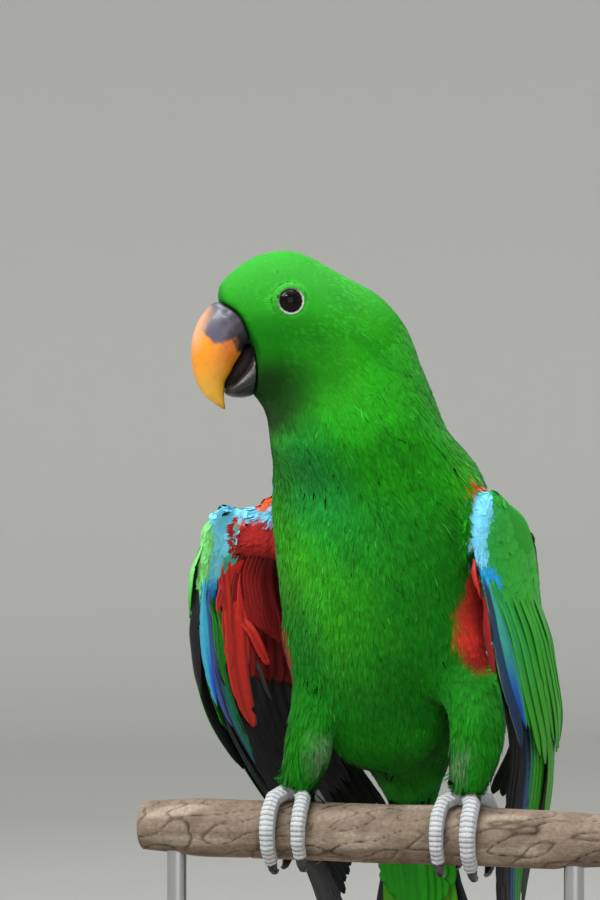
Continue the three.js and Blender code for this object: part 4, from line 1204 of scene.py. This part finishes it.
def vane_colours(leading, trailing, under, under_lead=None, rim=None, tip=None, quill=BLACK, fade=None):
    """A feather's colouring: leading and trailing vane on the outer face, the inner face, and, where it has
    them, a pale rim on the leading edge, a tip, and a colour that the leading vane fades to."""
    def colours(share, across, face):
        front = smooth(0.08, -0.12, across)
        if face < 0:
            colour = blend(under, under if under_lead is None else under_lead, smooth(-0.15, -0.5, across))
            return blend(colour, colour * 0.45, np.exp(-(across / 0.13) ** 2) * 0.6)
        lead_colour = np.broadcast_to(leading, share.shape + (3,))
        if fade is not None:
            lead_colour = blend(lead_colour, fade, smooth(0.4, 0.85, share))
        colour = lead_colour * front[..., None] + np.asarray(trailing) * (1 - front[..., None])
        if rim is not None:
            colour = blend(colour, rim, smooth(-0.72, -0.92, across))
        if tip is not None:
            colour = blend(colour, tip, smooth(0.9, 0.97, share))
        return blend(colour, quill, np.exp(-(across / 0.07) ** 2) * 0.55 * (1 - share))
    return colours


def between(stops, t):
    """The colour at t among evenly spaced stops."""
    place = np.clip(t, 0, 1) * (len(stops) - 1)
    low = min(int(place), len(stops) - 2)
    return mix(stops[low], stops[low + 1], place - low)


# %% Feathers of the wings
EDGE_ROUND = 4.6
EDGE_OUT = -0.4
PALE_RIM = linear("9fce86")
STEEL_BLUE = linear("35608f")
PRIMARY_EDGES = [BLACK, BLACK, BLACK, mix(BLACK, INDIGO, 0.4), STEEL_BLUE, TEAL_GREEN, GREEN, GREEN]


def edge_point(wing, along, around, level):
    """A place on the wing's rounded front edge, around it from the inner face to the outer one."""
    along, around, level = np.broadcast_arrays(along, around, level)
    turn = np.clip(around / EDGE_ROUND, -math.pi / 2, math.pi / 2)
    past = np.maximum(np.abs(around) - EDGE_ROUND * math.pi / 2, 0)
    return wing_point(wing, along, EDGE_ROUND - (EDGE_ROUND + level) * np.cos(turn) + past,
                      EDGE_OUT + (EDGE_ROUND + level) * np.sin(turn))


def peak(t):
    return WING_LENGTH - (300 if t < 0.3 else 85) * (t - 0.3) ** 2


def bed(t):
    """How far out the skin lies under the roots of a row of feathers, less enough to bury them."""
    return 1.6 + 1.9 * math.sin(math.pi * t)


def wing_tiers(front):
    """Each row of feathers: how many, and for a share t from the wing's front to its back the vane and its
    colours there. front is the green at the wing's very front."""
    deep = blend(BLACK, DEEP_GREEN, 0.35)
    dark = linear("35363a")
    return {
        "under_greater": (11, lambda t: dict(
            root=(46 - 8 * t, 12 + 50 * t, -3.4), tip=(158 - 62 * t, 16 + 58 * t, -4.6 + 1.2 * t),
            half=4.9, tilt=0.12, lead=0.5),
            lambda t: vane_colours(SLATE, BLACK, mix(BLACK, dark, 0.5), mix(BLACK, dark, 0.8))),
        "under_edge_low": (5, lambda t: dict(
            root=(52, 4 + 11 * t, -3.6), tip=(110 - 14 * t, 4 + 12 * t, -4.8), half=3.4, tilt=0.1, lead=0.5),
            lambda t: vane_colours(SLATE, BLACK, mix(linear("2c95a5"), TEAL_GREEN, t),
                                   mix(BLACK, INDIGO, 0.3))),
        "under_edge_top": (5, lambda t: dict(
            root=(36, 5 + 9 * t, -2.4), half=3.2, tilt=0.1, lead=0.5,
            tip=(64 + 14 * (t * (1 - t)) + 6 * math.sin(30 * t), 5 + 11 * t, -5.4)),
            lambda t: vane_colours(SLATE, BLACK, mix(TEAL_GREEN, GREEN, 0.7), mix(GREEN, BRIGHT_GREEN, 0.4))),
        "primaries": (10, lambda t: dict(
            root=(60 - 8 * t, 4.5 + 15 * t, -2.8 + 5.1 * t), tip=(peak(t), 5 + 23 * t, -3.2 + 4.9 * t),
            half=5.6, tilt=0.02, lead=0.32, end=SLIM_END, rows=44, splits=4, droop=0),
            lambda t: vane_colours(between(PRIMARY_EDGES, t), BLACK, mix(BLACK, dark, 0.4),
                                   mix(BLACK, dark, 0.7), rim=YELLOW_GREEN if t > 0.7 else None,
                                   fade=between([BLACK, BLACK, STEEL_BLUE, GREEN], t))),
        "secondaries": (12, lambda t: dict(
            root=(44 - 8 * t, 18 + 46 * t, 2.4 - 1.2 * t), half=5.6, tilt=0.15, lead=0.45, rows=36, splits=3,
            tip=(178 - 60 * t - 8 * t * t, 32 + 42 * t, 4.2 - 1.9 * t)),
            lambda t: vane_colours(dark if 0.38 < t < 0.6 else mix(GREEN, BRIGHT_GREEN, 0.3), deep, BLACK,
                                   mix(BLACK, SLATE, 0.5), rim=None if 0.38 < t < 0.6 else YELLOW_GREEN)),
        "greater_coverts": (14, lambda t: dict(
            root=(26 - 10 * t, 9 + 54 * t, bed(t) - 0.6), half=5.2, tilt=0.13, lead=0.5, rows=28, splits=3,
            tip=(106 - 28 * t + 4 * math.sin(23 * t), 13 + 59 * t, 4.8 + 2 * math.sin(2.6 * t)), droop=0.8),
            lambda t: vane_colours(mix(front, GREEN, smooth(0, 0.2, t)), GREEN, mix(BLACK, dark, 0.5),
                                   rim=mix(GREEN, BRIGHT_GREEN, 0.6), fade=mix(GREEN, YELLOW_GREEN, 0.45))),
    }


# The coloured feathers along the front edge, placed by how far along and around it, and how far out.
FRONT_STRIPS = {
    "left": [
        dict(root=(36, 8.8, -1.4), tip=(96, 9.8, 0.4), half=3.4, shades=(TEAL_GREEN, GREEN)),
        dict(root=(38, 6.2, -1.6), tip=(97, 7.0, 0.9), half=2.7, shades=(linear("35a08c"), ROYAL_BLUE)),
        dict(root=(38, 2.8, -1.6), tip=(106, 3.8, 0.7), half=2.7, shades=(INDIGO, linear("3d4a80"))),
        dict(root=(30, -0.4, -1.2), tip=(44, -0.3, 1.0), half=1.5, shades=(SCARLET, SCARLET)),
        dict(root=(44, -1.5, -1.4), tip=(84, -2.3, 1.7), half=3.2, shades=(DARK_RED, BLACK)),
    ],
    "right": [
        # The first two strips are green feathers painted in highlight green, as lit.
        dict(root=(14, 9, -0.8), tip=(46, 9.6, 0.6), half=3.6, shades=(HIGHLIGHT_GREEN, BRIGHT_GREEN)),
        dict(root=(17, 5.4, -1.4), tip=(47, 6.2, 1.1), half=3.0, shades=(HIGHLIGHT_GREEN, BRIGHT_GREEN)),
        dict(root=(36, 3.8, -1.6), tip=(78, 5, 0.9), half=4.2, shades=(BLACK, BLACK)),
        dict(root=(36, -5.2, -1.4), tip=(92, -4, 0.2), half=2.8, shades=(linear("42579c"), INDIGO)),
        dict(root=(32, -1.6, -1.6), tip=(84, -0.8, 0.9), half=1.7, shades=(linear("3a9dbd"), ROYAL_BLUE)),
    ],
}
RED_LINING = [
    ((18, 17, -3), (62, 19, -5.8), 4.4), ((18, 30, -3.8), (58, 31, -6.0), 4.6),
    ((20, 23, -3.4), (85, 25, -6.6), 8.5), ((28, 14, -3.8), (44, 5, -6.2), 2.6),
    ((36, 27, -4.4), (53, 44, -9), 3.1),
]
SPARE_CELLS = 32  # on each wing's map, for the feathers that stand in no row
for name, wing in WINGS.items():
    place = lambda along, back, out, wing=wing: wing_point(wing, along, back, out)
    front_place = lambda along, around, level, wing=wing: edge_point(wing, along, around, level)
    # The right wing's front green is a painted highlight green, the left one's teal.
    tiers = wing_tiers(TEAL_GREEN if name == "left" else HIGHLIGHT_GREEN)
    plumes = Plumes(sum(count for count, _, _ in tiers.values()) + SPARE_CELLS)
    for count, shape, colours in tiers.values():
        for t in np.linspace(0, 1, count):
            settings = shape(t)
            root, tip = np.array(settings.pop("root")), np.array(settings.pop("tip"))
            tip[0] += random.uniform(-1.5, 1.5)
            if name == "left":
                root[2] *= mix(0.6, 1, smooth(8, 30, root[1])) if root[2] < 0 else 1
                tip[2] *= mix(0.6, 1, smooth(8, 30, tip[1])) if tip[2] < 0 else 1
            half = settings.pop("half") * random.uniform(0.95, 1.05)
            plumes.lay(wing["side"], colours(t), place, root, tip, half, **settings)
    for t in np.linspace(1, 0, 9):
        colours = vane_colours(MAROON, MAROON, mix(DARK_RED, MAROON, t), DARK_RED, quill=MAROON)
        root, tip = (14 - 4 * t, 27 + 38 * t, -3.4), (62 - 8 * t, 30 + 44 * t, -5.2 + 1.2 * t)
        plumes.lay(wing["side"], colours, place, root, tip, 5.2, lead=0.5, tilt=0.1, splits=3)
    # The longest feathers of the armpit hang from the arm over the roots of the lining.
    for t in np.linspace(1, 0.38, 5) if name == "right" else ():
        shade = mix(mix(SCARLET, DARK_RED, 0.65), DARK_RED, t)
        plumes.lay(wing["side"], vane_colours(shade, shade, shade, quill=MAROON), place,
                   (8 - 2 * t, 19 + 6 * t, -9.5 - 9 * t), (38 + 4 * t, 28 + 24 * t, -7 - 3 * t), 4.6,
                   lead=0.5, tilt=0.05, splits=3, droop=0)
    for root, tip, half in RED_LINING:
        plumes.lay(wing["side"], vane_colours(SCARLET, SCARLET, SCARLET, SCARLET, quill=DARK_RED), place,
                   root, tip, half, lead=0.5, tilt=0.05, splits=3)
    for t in (1.0, 0.5, 0.0):
        plumes.lay(wing["side"], vane_colours(GREEN, GREEN, BLACK, BLACK, rim=YELLOW_GREEN), place,
                   (38, 62 + 5 * t, 1.4 - 0.5 * t), (112 - 6 * t, 74 + 11 * t, 1 - 0.6 * t), 5.4,
                   lead=0.5, tilt=0.1, rows=30)
    plumes.lay(wing["side"], vane_colours(SLATE, SLATE, linear("4d4744"), quill=BLACK), place,
               (50, 38, -5), (67, 45, -6.4), 1.3, lead=0.5)
    for strip in FRONT_STRIPS[name]:
        settings = dict(strip)
        lead, far = settings.pop("shades")
        rim = PALE_RIM if name == "left" and lead is INDIGO else None
        colours = vane_colours(lead, lead, BLACK, rim=rim, fade=far, quill=mix(lead, BLACK, 0.5))
        plumes.lay(wing["side"], colours, front_place, lead=0.5, tilt=0, arch=0.2, columns=8, end=SLIM_END,
                   **settings)
    plumes.finish(f"wing_feathers_{name}", "wing_plumage", f"wing_{name}")

# %% Feathers of the tail
TAIL_ROOT = np.array([0, 39, PERCH_TOP - 4])
TAIL_LENGTH = 128.0
TAIL_RUN = np.array([0, 72 - 39, -127 + 4.0])
TAIL_DOWN = unit(TAIL_RUN)
TAIL_OUT = np.array([0, -TAIL_DOWN[2], TAIL_DOWN[1]])
TAIL_ACROSS = np.array([1.0, 0, 0])


def tail_point(along, across, out):
    along, across, out = np.broadcast_arrays(along, across, out)
    return (TAIL_ROOT + along[..., None] * TAIL_DOWN * (np.linalg.norm(TAIL_RUN) / TAIL_LENGTH)
            + across[..., None] * TAIL_ACROSS + out[..., None] * TAIL_OUT)


YELLOW_TIP = linear("a8b04a")
TAIL_EDGES = [GREEN, GREEN, mix(GREEN, TEAL_GREEN, 0.6), mix(TEAL_GREEN, ROYAL_BLUE, 0.45), ROYAL_BLUE,
              INDIGO]
tail = Plumes(12 + 2 * 7 + 9 + 9)
for pair in range(5, -1, -1):
    for side in (1, -1):
        level = 2.6 - 0.62 * pair - (0.3 if side < 0 else 0)
        outer = TAIL_EDGES[pair]
        colouring = vane_colours(outer, mix(outer, BLACK, 0.15 if pair < 2 else 0.5), BLACK,
                                 mix(BLACK, SLATE, 0.5), fade=mix(outer, ROYAL_BLUE, 0.5), tip=YELLOW_TIP)
        plume_root = (14, side * (1 + 1.6 * pair), level)
        plume_tip = (TAIL_LENGTH - 0.6 * pair * pair, side * (3.5 + 4.3 * pair), level)

        def turned_colours(share, across, face, side=side, colouring=colouring):
            return colouring(share, -side * across, face)

        tail.lay(-1, turned_colours, tail_point, plume_root, plume_tip, 6.6, lead=0.5, rows=34, splits=2)
TAIL_COVERTS = ((1, 62, 5.2, 1.8, 7, GREEN, 4.6), (1, 42, 6.4, 2.2, 7, GREEN, 4.8),
                (-1, 76, 4.6, 1.7, 9, YELLOW_GREEN, 5.0), (-1, 48, 5.8, 1.9, 9, GREEN, 5.0))
for face, reach, height, fall, count, colour, half in TAIL_COVERTS:
    for t in np.linspace(-1, 1, count):
        colouring = vane_colours(colour, colour, colour, mix(colour, DEEP_GREEN, 0.4), quill=DEEP_GREEN)
        plume_root = (2, 7.5 * t, face * 3.2)
        plume_tip = (reach - 12 * t * t, 13.5 * t, face * (height - fall * abs(t)))
        tail.lay(-1, colouring, tail_point, plume_root, plume_tip, half, lead=0.5, rows=16, splits=2)
tail.finish("tail_feathers", "tail_plumage", "tail")

# %% [markdown]
# ## Bill
# The bill is horn over bone: smooth, hard and glossy, with faint growth lines. The solid has the right
# shape with flat facets, so a copy is remeshed finely and smoothed. Its colours run from a plum grey base
# through orange to a yellow tip, and the lower bill is nearly black. They are worked out from places in
# the head's own frame, with a wavering edge.

# %% Horn


def horn(name, roughness, coat):
    """Polished horn: the stored tint, faint growth lines and a clear, hard surface."""
    return tinted_finish(name, (0.07, 2.2), (1.1, 4, (1, 1, 2.6)), (0.25, 0.12), Roughness=roughness,
                         Coat_Weight=coat, Coat_Roughness=0.12, Specular_IOR_Level=0.55)[0]


bill_horn = horn("bill_horn", 0.38, 0.25)
claw_horn = horn("claw_horn", 0.4, 0.3)
print("horn finishes:", bill_horn.name, claw_horn.name)

# %% Upper and lower bill
PLUM = linear("5a5668")
PLUM_DARK = linear("33272f")
GLOSS_HIGHLIGHT = linear("e6c3ab")
BILL_RED = linear("ff8434")
BILL_ORANGE = linear("ff9d1e")
BILL_YELLOW = linear("ffbe38")
BILL_TIP = linear("c98d2b")
BILL_BLACK = linear("1d1b1d")
BILL_GREY = linear("55524f")

upper_bill = organic(welded_copy("upper_bill", ["bill_upper"], 0.15), 0.42, 22)
forward, up, _ = head_places(mesh_points(upper_bill.data)[0])
smooth_where(upper_bill, smooth(-36, -28, up) * smooth(22, 25, forward), 70)
points, normals = mesh_points(upper_bill.data)
forward, up, _ = head_places(points)
waver = 3.2 * (waves(points, 5, 21) - 0.5) + 1.6 * (waves(points, 2.2, 22) - 0.5)
ridge = smooth(0.55, 0.93, normals @ FORWARD)
colour = blend(BILL_ORANGE, BILL_YELLOW, smooth(-22, -38, up))
colour = blend(colour, BILL_RED, 0.75 * smooth(-29, -20, up) * smooth(33, 27, forward))
colour = blend(colour, BILL_TIP, smooth(-40, -44, up))
base = smooth(-1.9, 1.9, up + waver + mix(17.2, 12, smooth(30, 40, forward)))
base = np.maximum(base, smooth(24, 22, forward) * smooth(-21, -19.5, up))
plum = blend(PLUM, PLUM_DARK, 0.85 * smooth(30, 23, forward + waver))
colour = blend(colour, plum, base * (1 - 0.75 * ridge * smooth(30, 34, forward)))
# A painted highlight, pale pink, along the front of the upper bill's ridge.
colour = blend(colour, GLOSS_HIGHLIGHT, 0.55 * ridge * smooth(-24, -12, up))
# Painted shade: nearly black where the upper bill faces back, low down at the gape.
colour = blend(colour, BILL_BLACK, 0.6 * smooth(0.7, 0.98, -normals @ FORWARD) * smooth(-12, -18, up))
set_tint(upper_bill.data, colour)
dress(upper_bill, bill_horn, "upper_bill", "bill_upper")

lower_bill = organic(welded_copy("lower_bill", ["bill_lower"], 0.1), 0.36, 10)
points, normals = mesh_points(lower_bill.data)
_, up, left = head_places(points)
streak = waves(points * [1, 1, 0.3], 1.6, 23)
colour = blend(BILL_BLACK, BILL_GREY, 0.5 * smooth(0.6, 0.95, streak) * smooth(-33, -22, up))
rim = np.exp(-((normals @ (0.75 * UPWARD + 0.66 * FORWARD) - 0.5) / 0.1) ** 2) * smooth(4.5, 6, np.abs(left))
colour = blend(colour, linear("8a8178"), 0.35 * rim)
set_tint(lower_bill.data, colour)
dress(lower_bill, bill_horn, "lower_bill", "bill_lower")

# %% Mouth
# A thick dark tongue fills the mouth, so that no daylight shows between the open bills. Its near-black tint
# is partly the tongue's own colour and partly painted shade inside the mouth.
mouth_place = head_point(18.8, -26.2)
mouth_run = unit(0.62 * FORWARD - 0.78 * UPWARD)
bpy.ops.mesh.primitive_uv_sphere_add(segments=40, ring_count=24, radius=MM)
mouth = bpy.context.object
mouth.name = "tongue"
points, _ = mesh_points(mouth.data)
across = np.cross(mouth_run, LEFTWARD)
thick = mix(4.2, 6.4, smooth(0.1, -0.6, points[:, 2:]))
points = (mouth_place + points[:, :1] * LEFTWARD * 6 + points[:, 1:2] * across * thick
          + points[:, 2:] * mouth_run * 11.5)
move_points(mouth.data, points)
bpy.ops.object.shade_smooth()
set_tint(mouth.data, blend(linear("1a0d0c"), linear("0c0707"), waves(points, 5, 24)))
print("bill triangles:", triangles(upper_bill), triangles(lower_bill))

# %% [markdown]
# ## Eyes and eye rings
# The eye is a glossy ball of very dark brown round a black pupil. A ring of bare, pale grey skin frames
# it. The ball is a sphere at the eye's own place, and the ring is a torus pressed into the face, beaded
# by small folds all round.

# %% Eyes
IRIS = linear("120906")
PUPIL = linear("040404")
RING_SKIN = linear("dedfdb")
RING_SHADOWED_SIDE = linear("5b6a58")
LID_EDGE = linear("3a3733")
RING_APRON = mix(GREEN, BRIGHT_GREEN, 0.4) * 0.9
EYE_OPENING = 4.6

wet_eye, tree, shader = finish("wet_eye", Roughness=0.05, Specular_IOR_Level=0.1, Coat_Weight=0.2,
                               Coat_Roughness=0.02)
tint = add(tree, "ShaderNodeAttribute", attribute_name="tint")
tree.links.new(tint.outputs["Color"], shader.inputs["Base Color"])
bare_skin, _, _ = tinted_finish("bare_grey_skin", (0.15, 0.7), (0.5,), (0.5, 0.15), Roughness=0.6,
                                Specular_IOR_Level=0.2)
dress(mouth, bare_skin, "lower_bill")
for side, centre in EYE_CENTRES.items():
    out = LEFTWARD * (1 if side == "left" else -1)
    spin = Vector(out).to_track_quat("Z", "Y").to_euler()
    bpy.ops.mesh.primitive_uv_sphere_add(segments=64, ring_count=48, radius=EYE["radius"] * MM,
                                         location=Vector(centre) * MM, rotation=spin)
    eye = bpy.context.object
    eye.name = f"eyeball_{side}"
    bpy.ops.object.transform_apply()
    bpy.ops.object.shade_smooth()
    points, _ = mesh_points(eye.data)
    around = np.degrees(np.arccos(np.clip((points - centre) @ out / EYE["radius"], -1, 1)))
    set_tint(eye.data, blend(PUPIL, IRIS, smooth(24, 27, around) * smooth(46, 38, around)))
    dress(eye, wet_eye, "eye", f"eye_{side}")
    ring_place = centre + out * (EYE["radius"] ** 2 - EYE_OPENING ** 2) ** 0.5
    bpy.ops.mesh.primitive_torus_add(
        major_segments=96, minor_segments=14, major_radius=(EYE_OPENING + 0.65) * MM, minor_radius=0.9 * MM,
        location=Vector(ring_place) * MM, rotation=spin)
    ring = bpy.context.object
    ring.name = f"eye_ring_{side}"
    bpy.ops.object.transform_apply()
    bpy.ops.object.shade_smooth()
    points, normals = mesh_points(ring.data)
    apart = points - ring_place
    turns = np.arctan2(apart @ UPWARD, apart @ FORWARD)
    height = apart @ out
    points = points - out * (0.45 * height)[:, None]
    points += normals * (0.1 * np.sin(turns * 34) + 0.06 * np.sin(turns * 15 + 1))[:, None]
    wide = np.linalg.norm(apart - np.outer(height, out), axis=1)
    apron = smooth(EYE_OPENING + 0.8, EYE_OPENING + 1.5, wide)
    points += (unit(apart - np.outer(height, out)) * 1.1 - out * 1.0) * apron[:, None]
    move_points(ring.data, points)
    # The ring is painted darker on its upper front side, as painted shade, and pale at the back and below.
    turned = smooth(-1, 0.6, unit(apart) @ (-0.6 * FORWARD - 0.8 * UPWARD))
    colour = blend(RING_SHADOWED_SIDE, RING_SKIN, turned)
    colour = blend(colour, LID_EDGE, smooth(EYE_OPENING + 0.25, EYE_OPENING - 0.1, wide))
    set_tint(ring.data, blend(colour, RING_APRON, smooth(EYE_OPENING + 0.5, EYE_OPENING + 0.75, wide)))
    dress(ring, bare_skin, "eye")
print("eyes and rings set")

# %% [markdown]
# ## Feet and claws
# A parrot's foot has two toes ahead and two behind, in rough grey skin with a row of broad plates along
# the top of each toe. Every toe is bent round the perch, so the angle round the perch's middle line counts
# along all of them alike, and the grooves between the plates are cut at even steps of that angle.

# %% Feet
FOOT_GREY = linear("ced1d4")
FOOT_GROOVE = linear("4f4d50")
PLATE_STEP = math.radians(6.6)
PERCH_AXIS = np.array([0, PERCH_Y, PERCH_TOP - PERCH_RADIUS])

foot_skin, tree, shader = tinted_finish("scaly_foot_skin", (0.12, 0.9), Roughness=0.6, Specular_IOR_Level=0.4)
place = add(tree, "ShaderNodeTexCoord").outputs["Object"]
cells = add(tree, "ShaderNodeTexVoronoi", {"Vector": place, "Scale": 1 / (0.9 * MM)},
            feature="DISTANCE_TO_EDGE")
roughen(tree, shader, cells.outputs["Distance"], 0.5, 0.2)
for side in ("left", "right"):
    foot = organic(welded_copy(f"scaled_foot_{side}", [f"foot_{side}"]), 0.5, 5)
    points, normals = mesh_points(foot.data)
    apart = (points - PERCH_AXIS) * [0, 1, 1]
    angle = np.arctan2(-apart[:, 1], apart[:, 2])
    phase = np.abs(angle) / PLATE_STEP % 1
    groove = np.exp(-((np.minimum(phase, 1 - phase) / 0.13) ** 2))
    top = smooth(0.1, 0.5, np.sum(normals * unit(apart), axis=1)) * smooth(0.15, 0.3, np.abs(angle))
    points = points - normals * (0.34 * groove * top - 0.1 * top)[:, None]
    move_points(foot.data, points)
    # The toes' tops are pale, partly their lighter plates and partly a painted highlight. Their sides are a
    # quarter darker as painted shade, and the grooves between plates are dark.
    colour = blend(FOOT_GREY, FOOT_GROOVE, 0.75 * groove * top + 0.25 * (1 - top))
    set_tint(foot.data, colour)
    dress(foot, foot_skin, "foot_skin", f"foot_{side}")
    for toe in ("inner_front", "outer_front", "inner_back", "outer_back"):
        claw = organic(welded_copy(f"horn_{side}_{toe}", [f"claw_{side}_{toe}"]), 0.22, 4)
        points, _ = mesh_points(claw.data)
        set_tint(claw.data, blend(linear("4a4749"), BILL_BLACK, waves(points, 4, 31)))
        dress(claw, claw_horn, "claw_horn", f"claw_{side}_{toe}")

# %% [markdown]
# ## Perch and stand
# The perch is a cut length of branch with weathered, furrowed bark and two sawn ends that show its rings.
# Its bark is real relief, worked out over a remeshed copy. The stand is plain museum work: a stained
# hardwood board with rounded corners and two brushed steel rods in small collars.

# %% Perch
BARK = linear("8b7a69")
BARK_DARK = linear("4a3d33")
BARK_PALE = linear("b5a592")
SAWN = linear("c3a27a")
SAWN_DARK = linear("8e6a45")

bark, _, _ = tinted_finish("weathered_bark", (0.22, 1.6), (0.9, 5, (0.3, 1, 1)), (0.7, 0.5), Roughness=0.88,
                           Specular_IOR_Level=0.25)
branch = organic(welded_copy("branch", ["perch"]), 0.95, 6)
points, normals = mesh_points(branch.data)
apart = (points - PERCH_AXIS) * [0, 1, 1]
radius = np.linalg.norm(apart, axis=1)
side_face = smooth(0.8, 0.5, np.abs(normals[:, 0]))
around = points * [0.22, 1, 1]
furrow = np.abs(waves(around, 5.5, 41) - 0.5) * 2
cracks = smooth(0.14, 0.0, furrow)
lumps = waves(points * [0.5, 1, 1], 26, 42) - 0.5
move_points(branch.data, points + normals * (side_face * (0.7 * lumps - 0.55 * cracks))[:, None])
colour = blend(BARK, BARK_PALE, 0.7 * smooth(0.5, 0.9, waves(around, 12, 43)))
colour = blend(colour, BARK_DARK, 0.8 * cracks + 0.3 * smooth(0.55, 0.9, waves(points, 18, 44)))
rings = 0.5 + 0.5 * np.sin(radius * 4.6 + 1.5 * waves(points, 8, 45))
sawn = blend(SAWN, SAWN_DARK, 0.6 * rings)
set_tint(branch.data, blend(sawn, colour, smooth(0.85, 0.6, np.abs(normals[:, 0]))))
dress(branch, bark, "bark", "perch")
print("branch triangles:", triangles(branch))

# %% Board
BASE_CORNER, BASE_EASE = 40, 2
low, high = (np.array(corner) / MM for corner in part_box("stand_base"))


def hardwood():
    material, tree, shader = finish("stained_hardwood", Roughness=0.42, Coat_Weight=0.25, Coat_Roughness=0.25)
    grain = object_noise(tree, 3.2, 6, (0.09, 1, 1))
    figure = object_noise(tree, 26, 3, (0.25, 1, 1))
    both = add(tree, "ShaderNodeMath", {0: grain.outputs["Fac"], 1: 0.55, 2: figure.outputs["Fac"]},
               operation="MULTIPLY_ADD")
    ramp = add(tree, "ShaderNodeValToRGB", {"Fac": both.outputs[0]})
    for element, (place, code) in zip(ramp.color_ramp.elements, ((0.62, "2f1d12"), (0.95, "7a4f30"))):
        element.position = place
        element.color = (*linear(code), 1)
    tree.links.new(ramp.outputs["Color"], shader.inputs["Base Color"])
    roughen(tree, shader, grain.outputs["Fac"], 0.25, 0.15)
    return material


bpy.ops.mesh.primitive_cube_add(size=1, location=Vector((low + high) / 2) * MM, scale=Vector(high - low) * MM)
board = bpy.context.object
board.name = "stand_board"
bpy.ops.object.transform_apply()


def select_edges(piece, wanted):
    """Selects the edges whose two ends satisfy wanted, and leaves the piece in edit mode."""
    bpy.ops.object.mode_set(mode="EDIT")
    bpy.ops.mesh.select_mode(type="EDGE")
    bpy.ops.mesh.select_all(action="DESELECT")
    bpy.ops.object.mode_set(mode="OBJECT")
    for edge in piece.data.edges:
        edge.select = wanted(*(piece.data.vertices[i].co for i in edge.vertices))
    bpy.ops.object.mode_set(mode="EDIT")


activate(board)
select_edges(board, lambda a, b: abs(a.z - b.z) > 5 * MM)
bpy.ops.mesh.bevel(offset=BASE_CORNER * MM, segments=24, affect="EDGES")
bpy.ops.object.mode_set(mode="OBJECT")
select_edges(board, lambda a, b: abs(a.z - b.z) < 1e-6)
bpy.ops.mesh.bevel(offset=BASE_EASE * MM, segments=4, affect="EDGES")
bpy.ops.object.mode_set(mode="OBJECT")
bpy.ops.object.shade_smooth_by_angle(angle=math.radians(30))
dress(board, hardwood(), "stand_wood", "stand_base")
print("board faces:", len(board.data.polygons))

# %% Rods
COLLAR_HEIGHT, COLLAR_RADIUS = 4.0, 7
BOARD_TOP = float(high[2])
steel, tree, shader = finish("brushed_steel", Roughness=0.3, Metallic=1.0, Base_Color=(0.58, 0.58, 0.59, 1))
roughen(tree, shader, object_noise(tree, 0.5, 2, (1, 1, 0.02)).outputs["Fac"], 0.25, 0.04)
for side in ("left", "right"):
    low, high = (np.array(corner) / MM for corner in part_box(f"stand_rod_{side}"))
    middle = (low + high) / 2
    bpy.ops.mesh.primitive_cylinder_add(vertices=64, radius=(high[0] - low[0]) / 2 * MM,
                                        depth=(high[2] - low[2]) * MM, location=Vector(middle) * MM)
    rod = bpy.context.object
    rod.name = f"rod_{side}"
    bpy.ops.object.transform_apply()
    bpy.ops.mesh.primitive_cylinder_add(
        vertices=64, radius=COLLAR_RADIUS * MM, depth=COLLAR_HEIGHT * MM,
        location=(middle[0] * MM, middle[1] * MM, (BOARD_TOP + COLLAR_HEIGHT / 2) * MM))
    collar = bpy.context.object
    bpy.ops.object.transform_apply()
    select_edges(collar, lambda a, b: abs(a.z - b.z) < 1e-6 and a.z > (BOARD_TOP + 1) * MM)
    bpy.ops.mesh.bevel(offset=1.2 * MM, segments=4, affect="EDGES")
    bpy.ops.object.mode_set(mode="OBJECT")
    rod.select_set(True)
    bpy.context.view_layer.objects.active = rod
    bpy.ops.object.join()
    bpy.ops.object.shade_smooth_by_angle(angle=math.radians(35))
    dress(rod, steel, "rod_steel", f"stand_rod_{side}")
print("rods and collars set")

# %% [markdown]
# ## Measure and finish
# The dressed bird should keep the size of the solids, so how far its box reaches beyond theirs is printed.

# %% Measure and finish
visual_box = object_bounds()
growth = [[round((v - c) / MM, 1) for v, c in zip(*pair)] for pair in zip(visual_box, cad_box)]
print("visual box beyond the CAD box, in mm:", growth)
pieces = [item for item in bpy.data.objects if item.type == "MESH" and not item.hide_render]
print("triangles in all:", sum(triangles(piece) for piece in pieces))
print("largest:", sorted(((triangles(piece), piece.name) for piece in pieces), reverse=True)[:6])
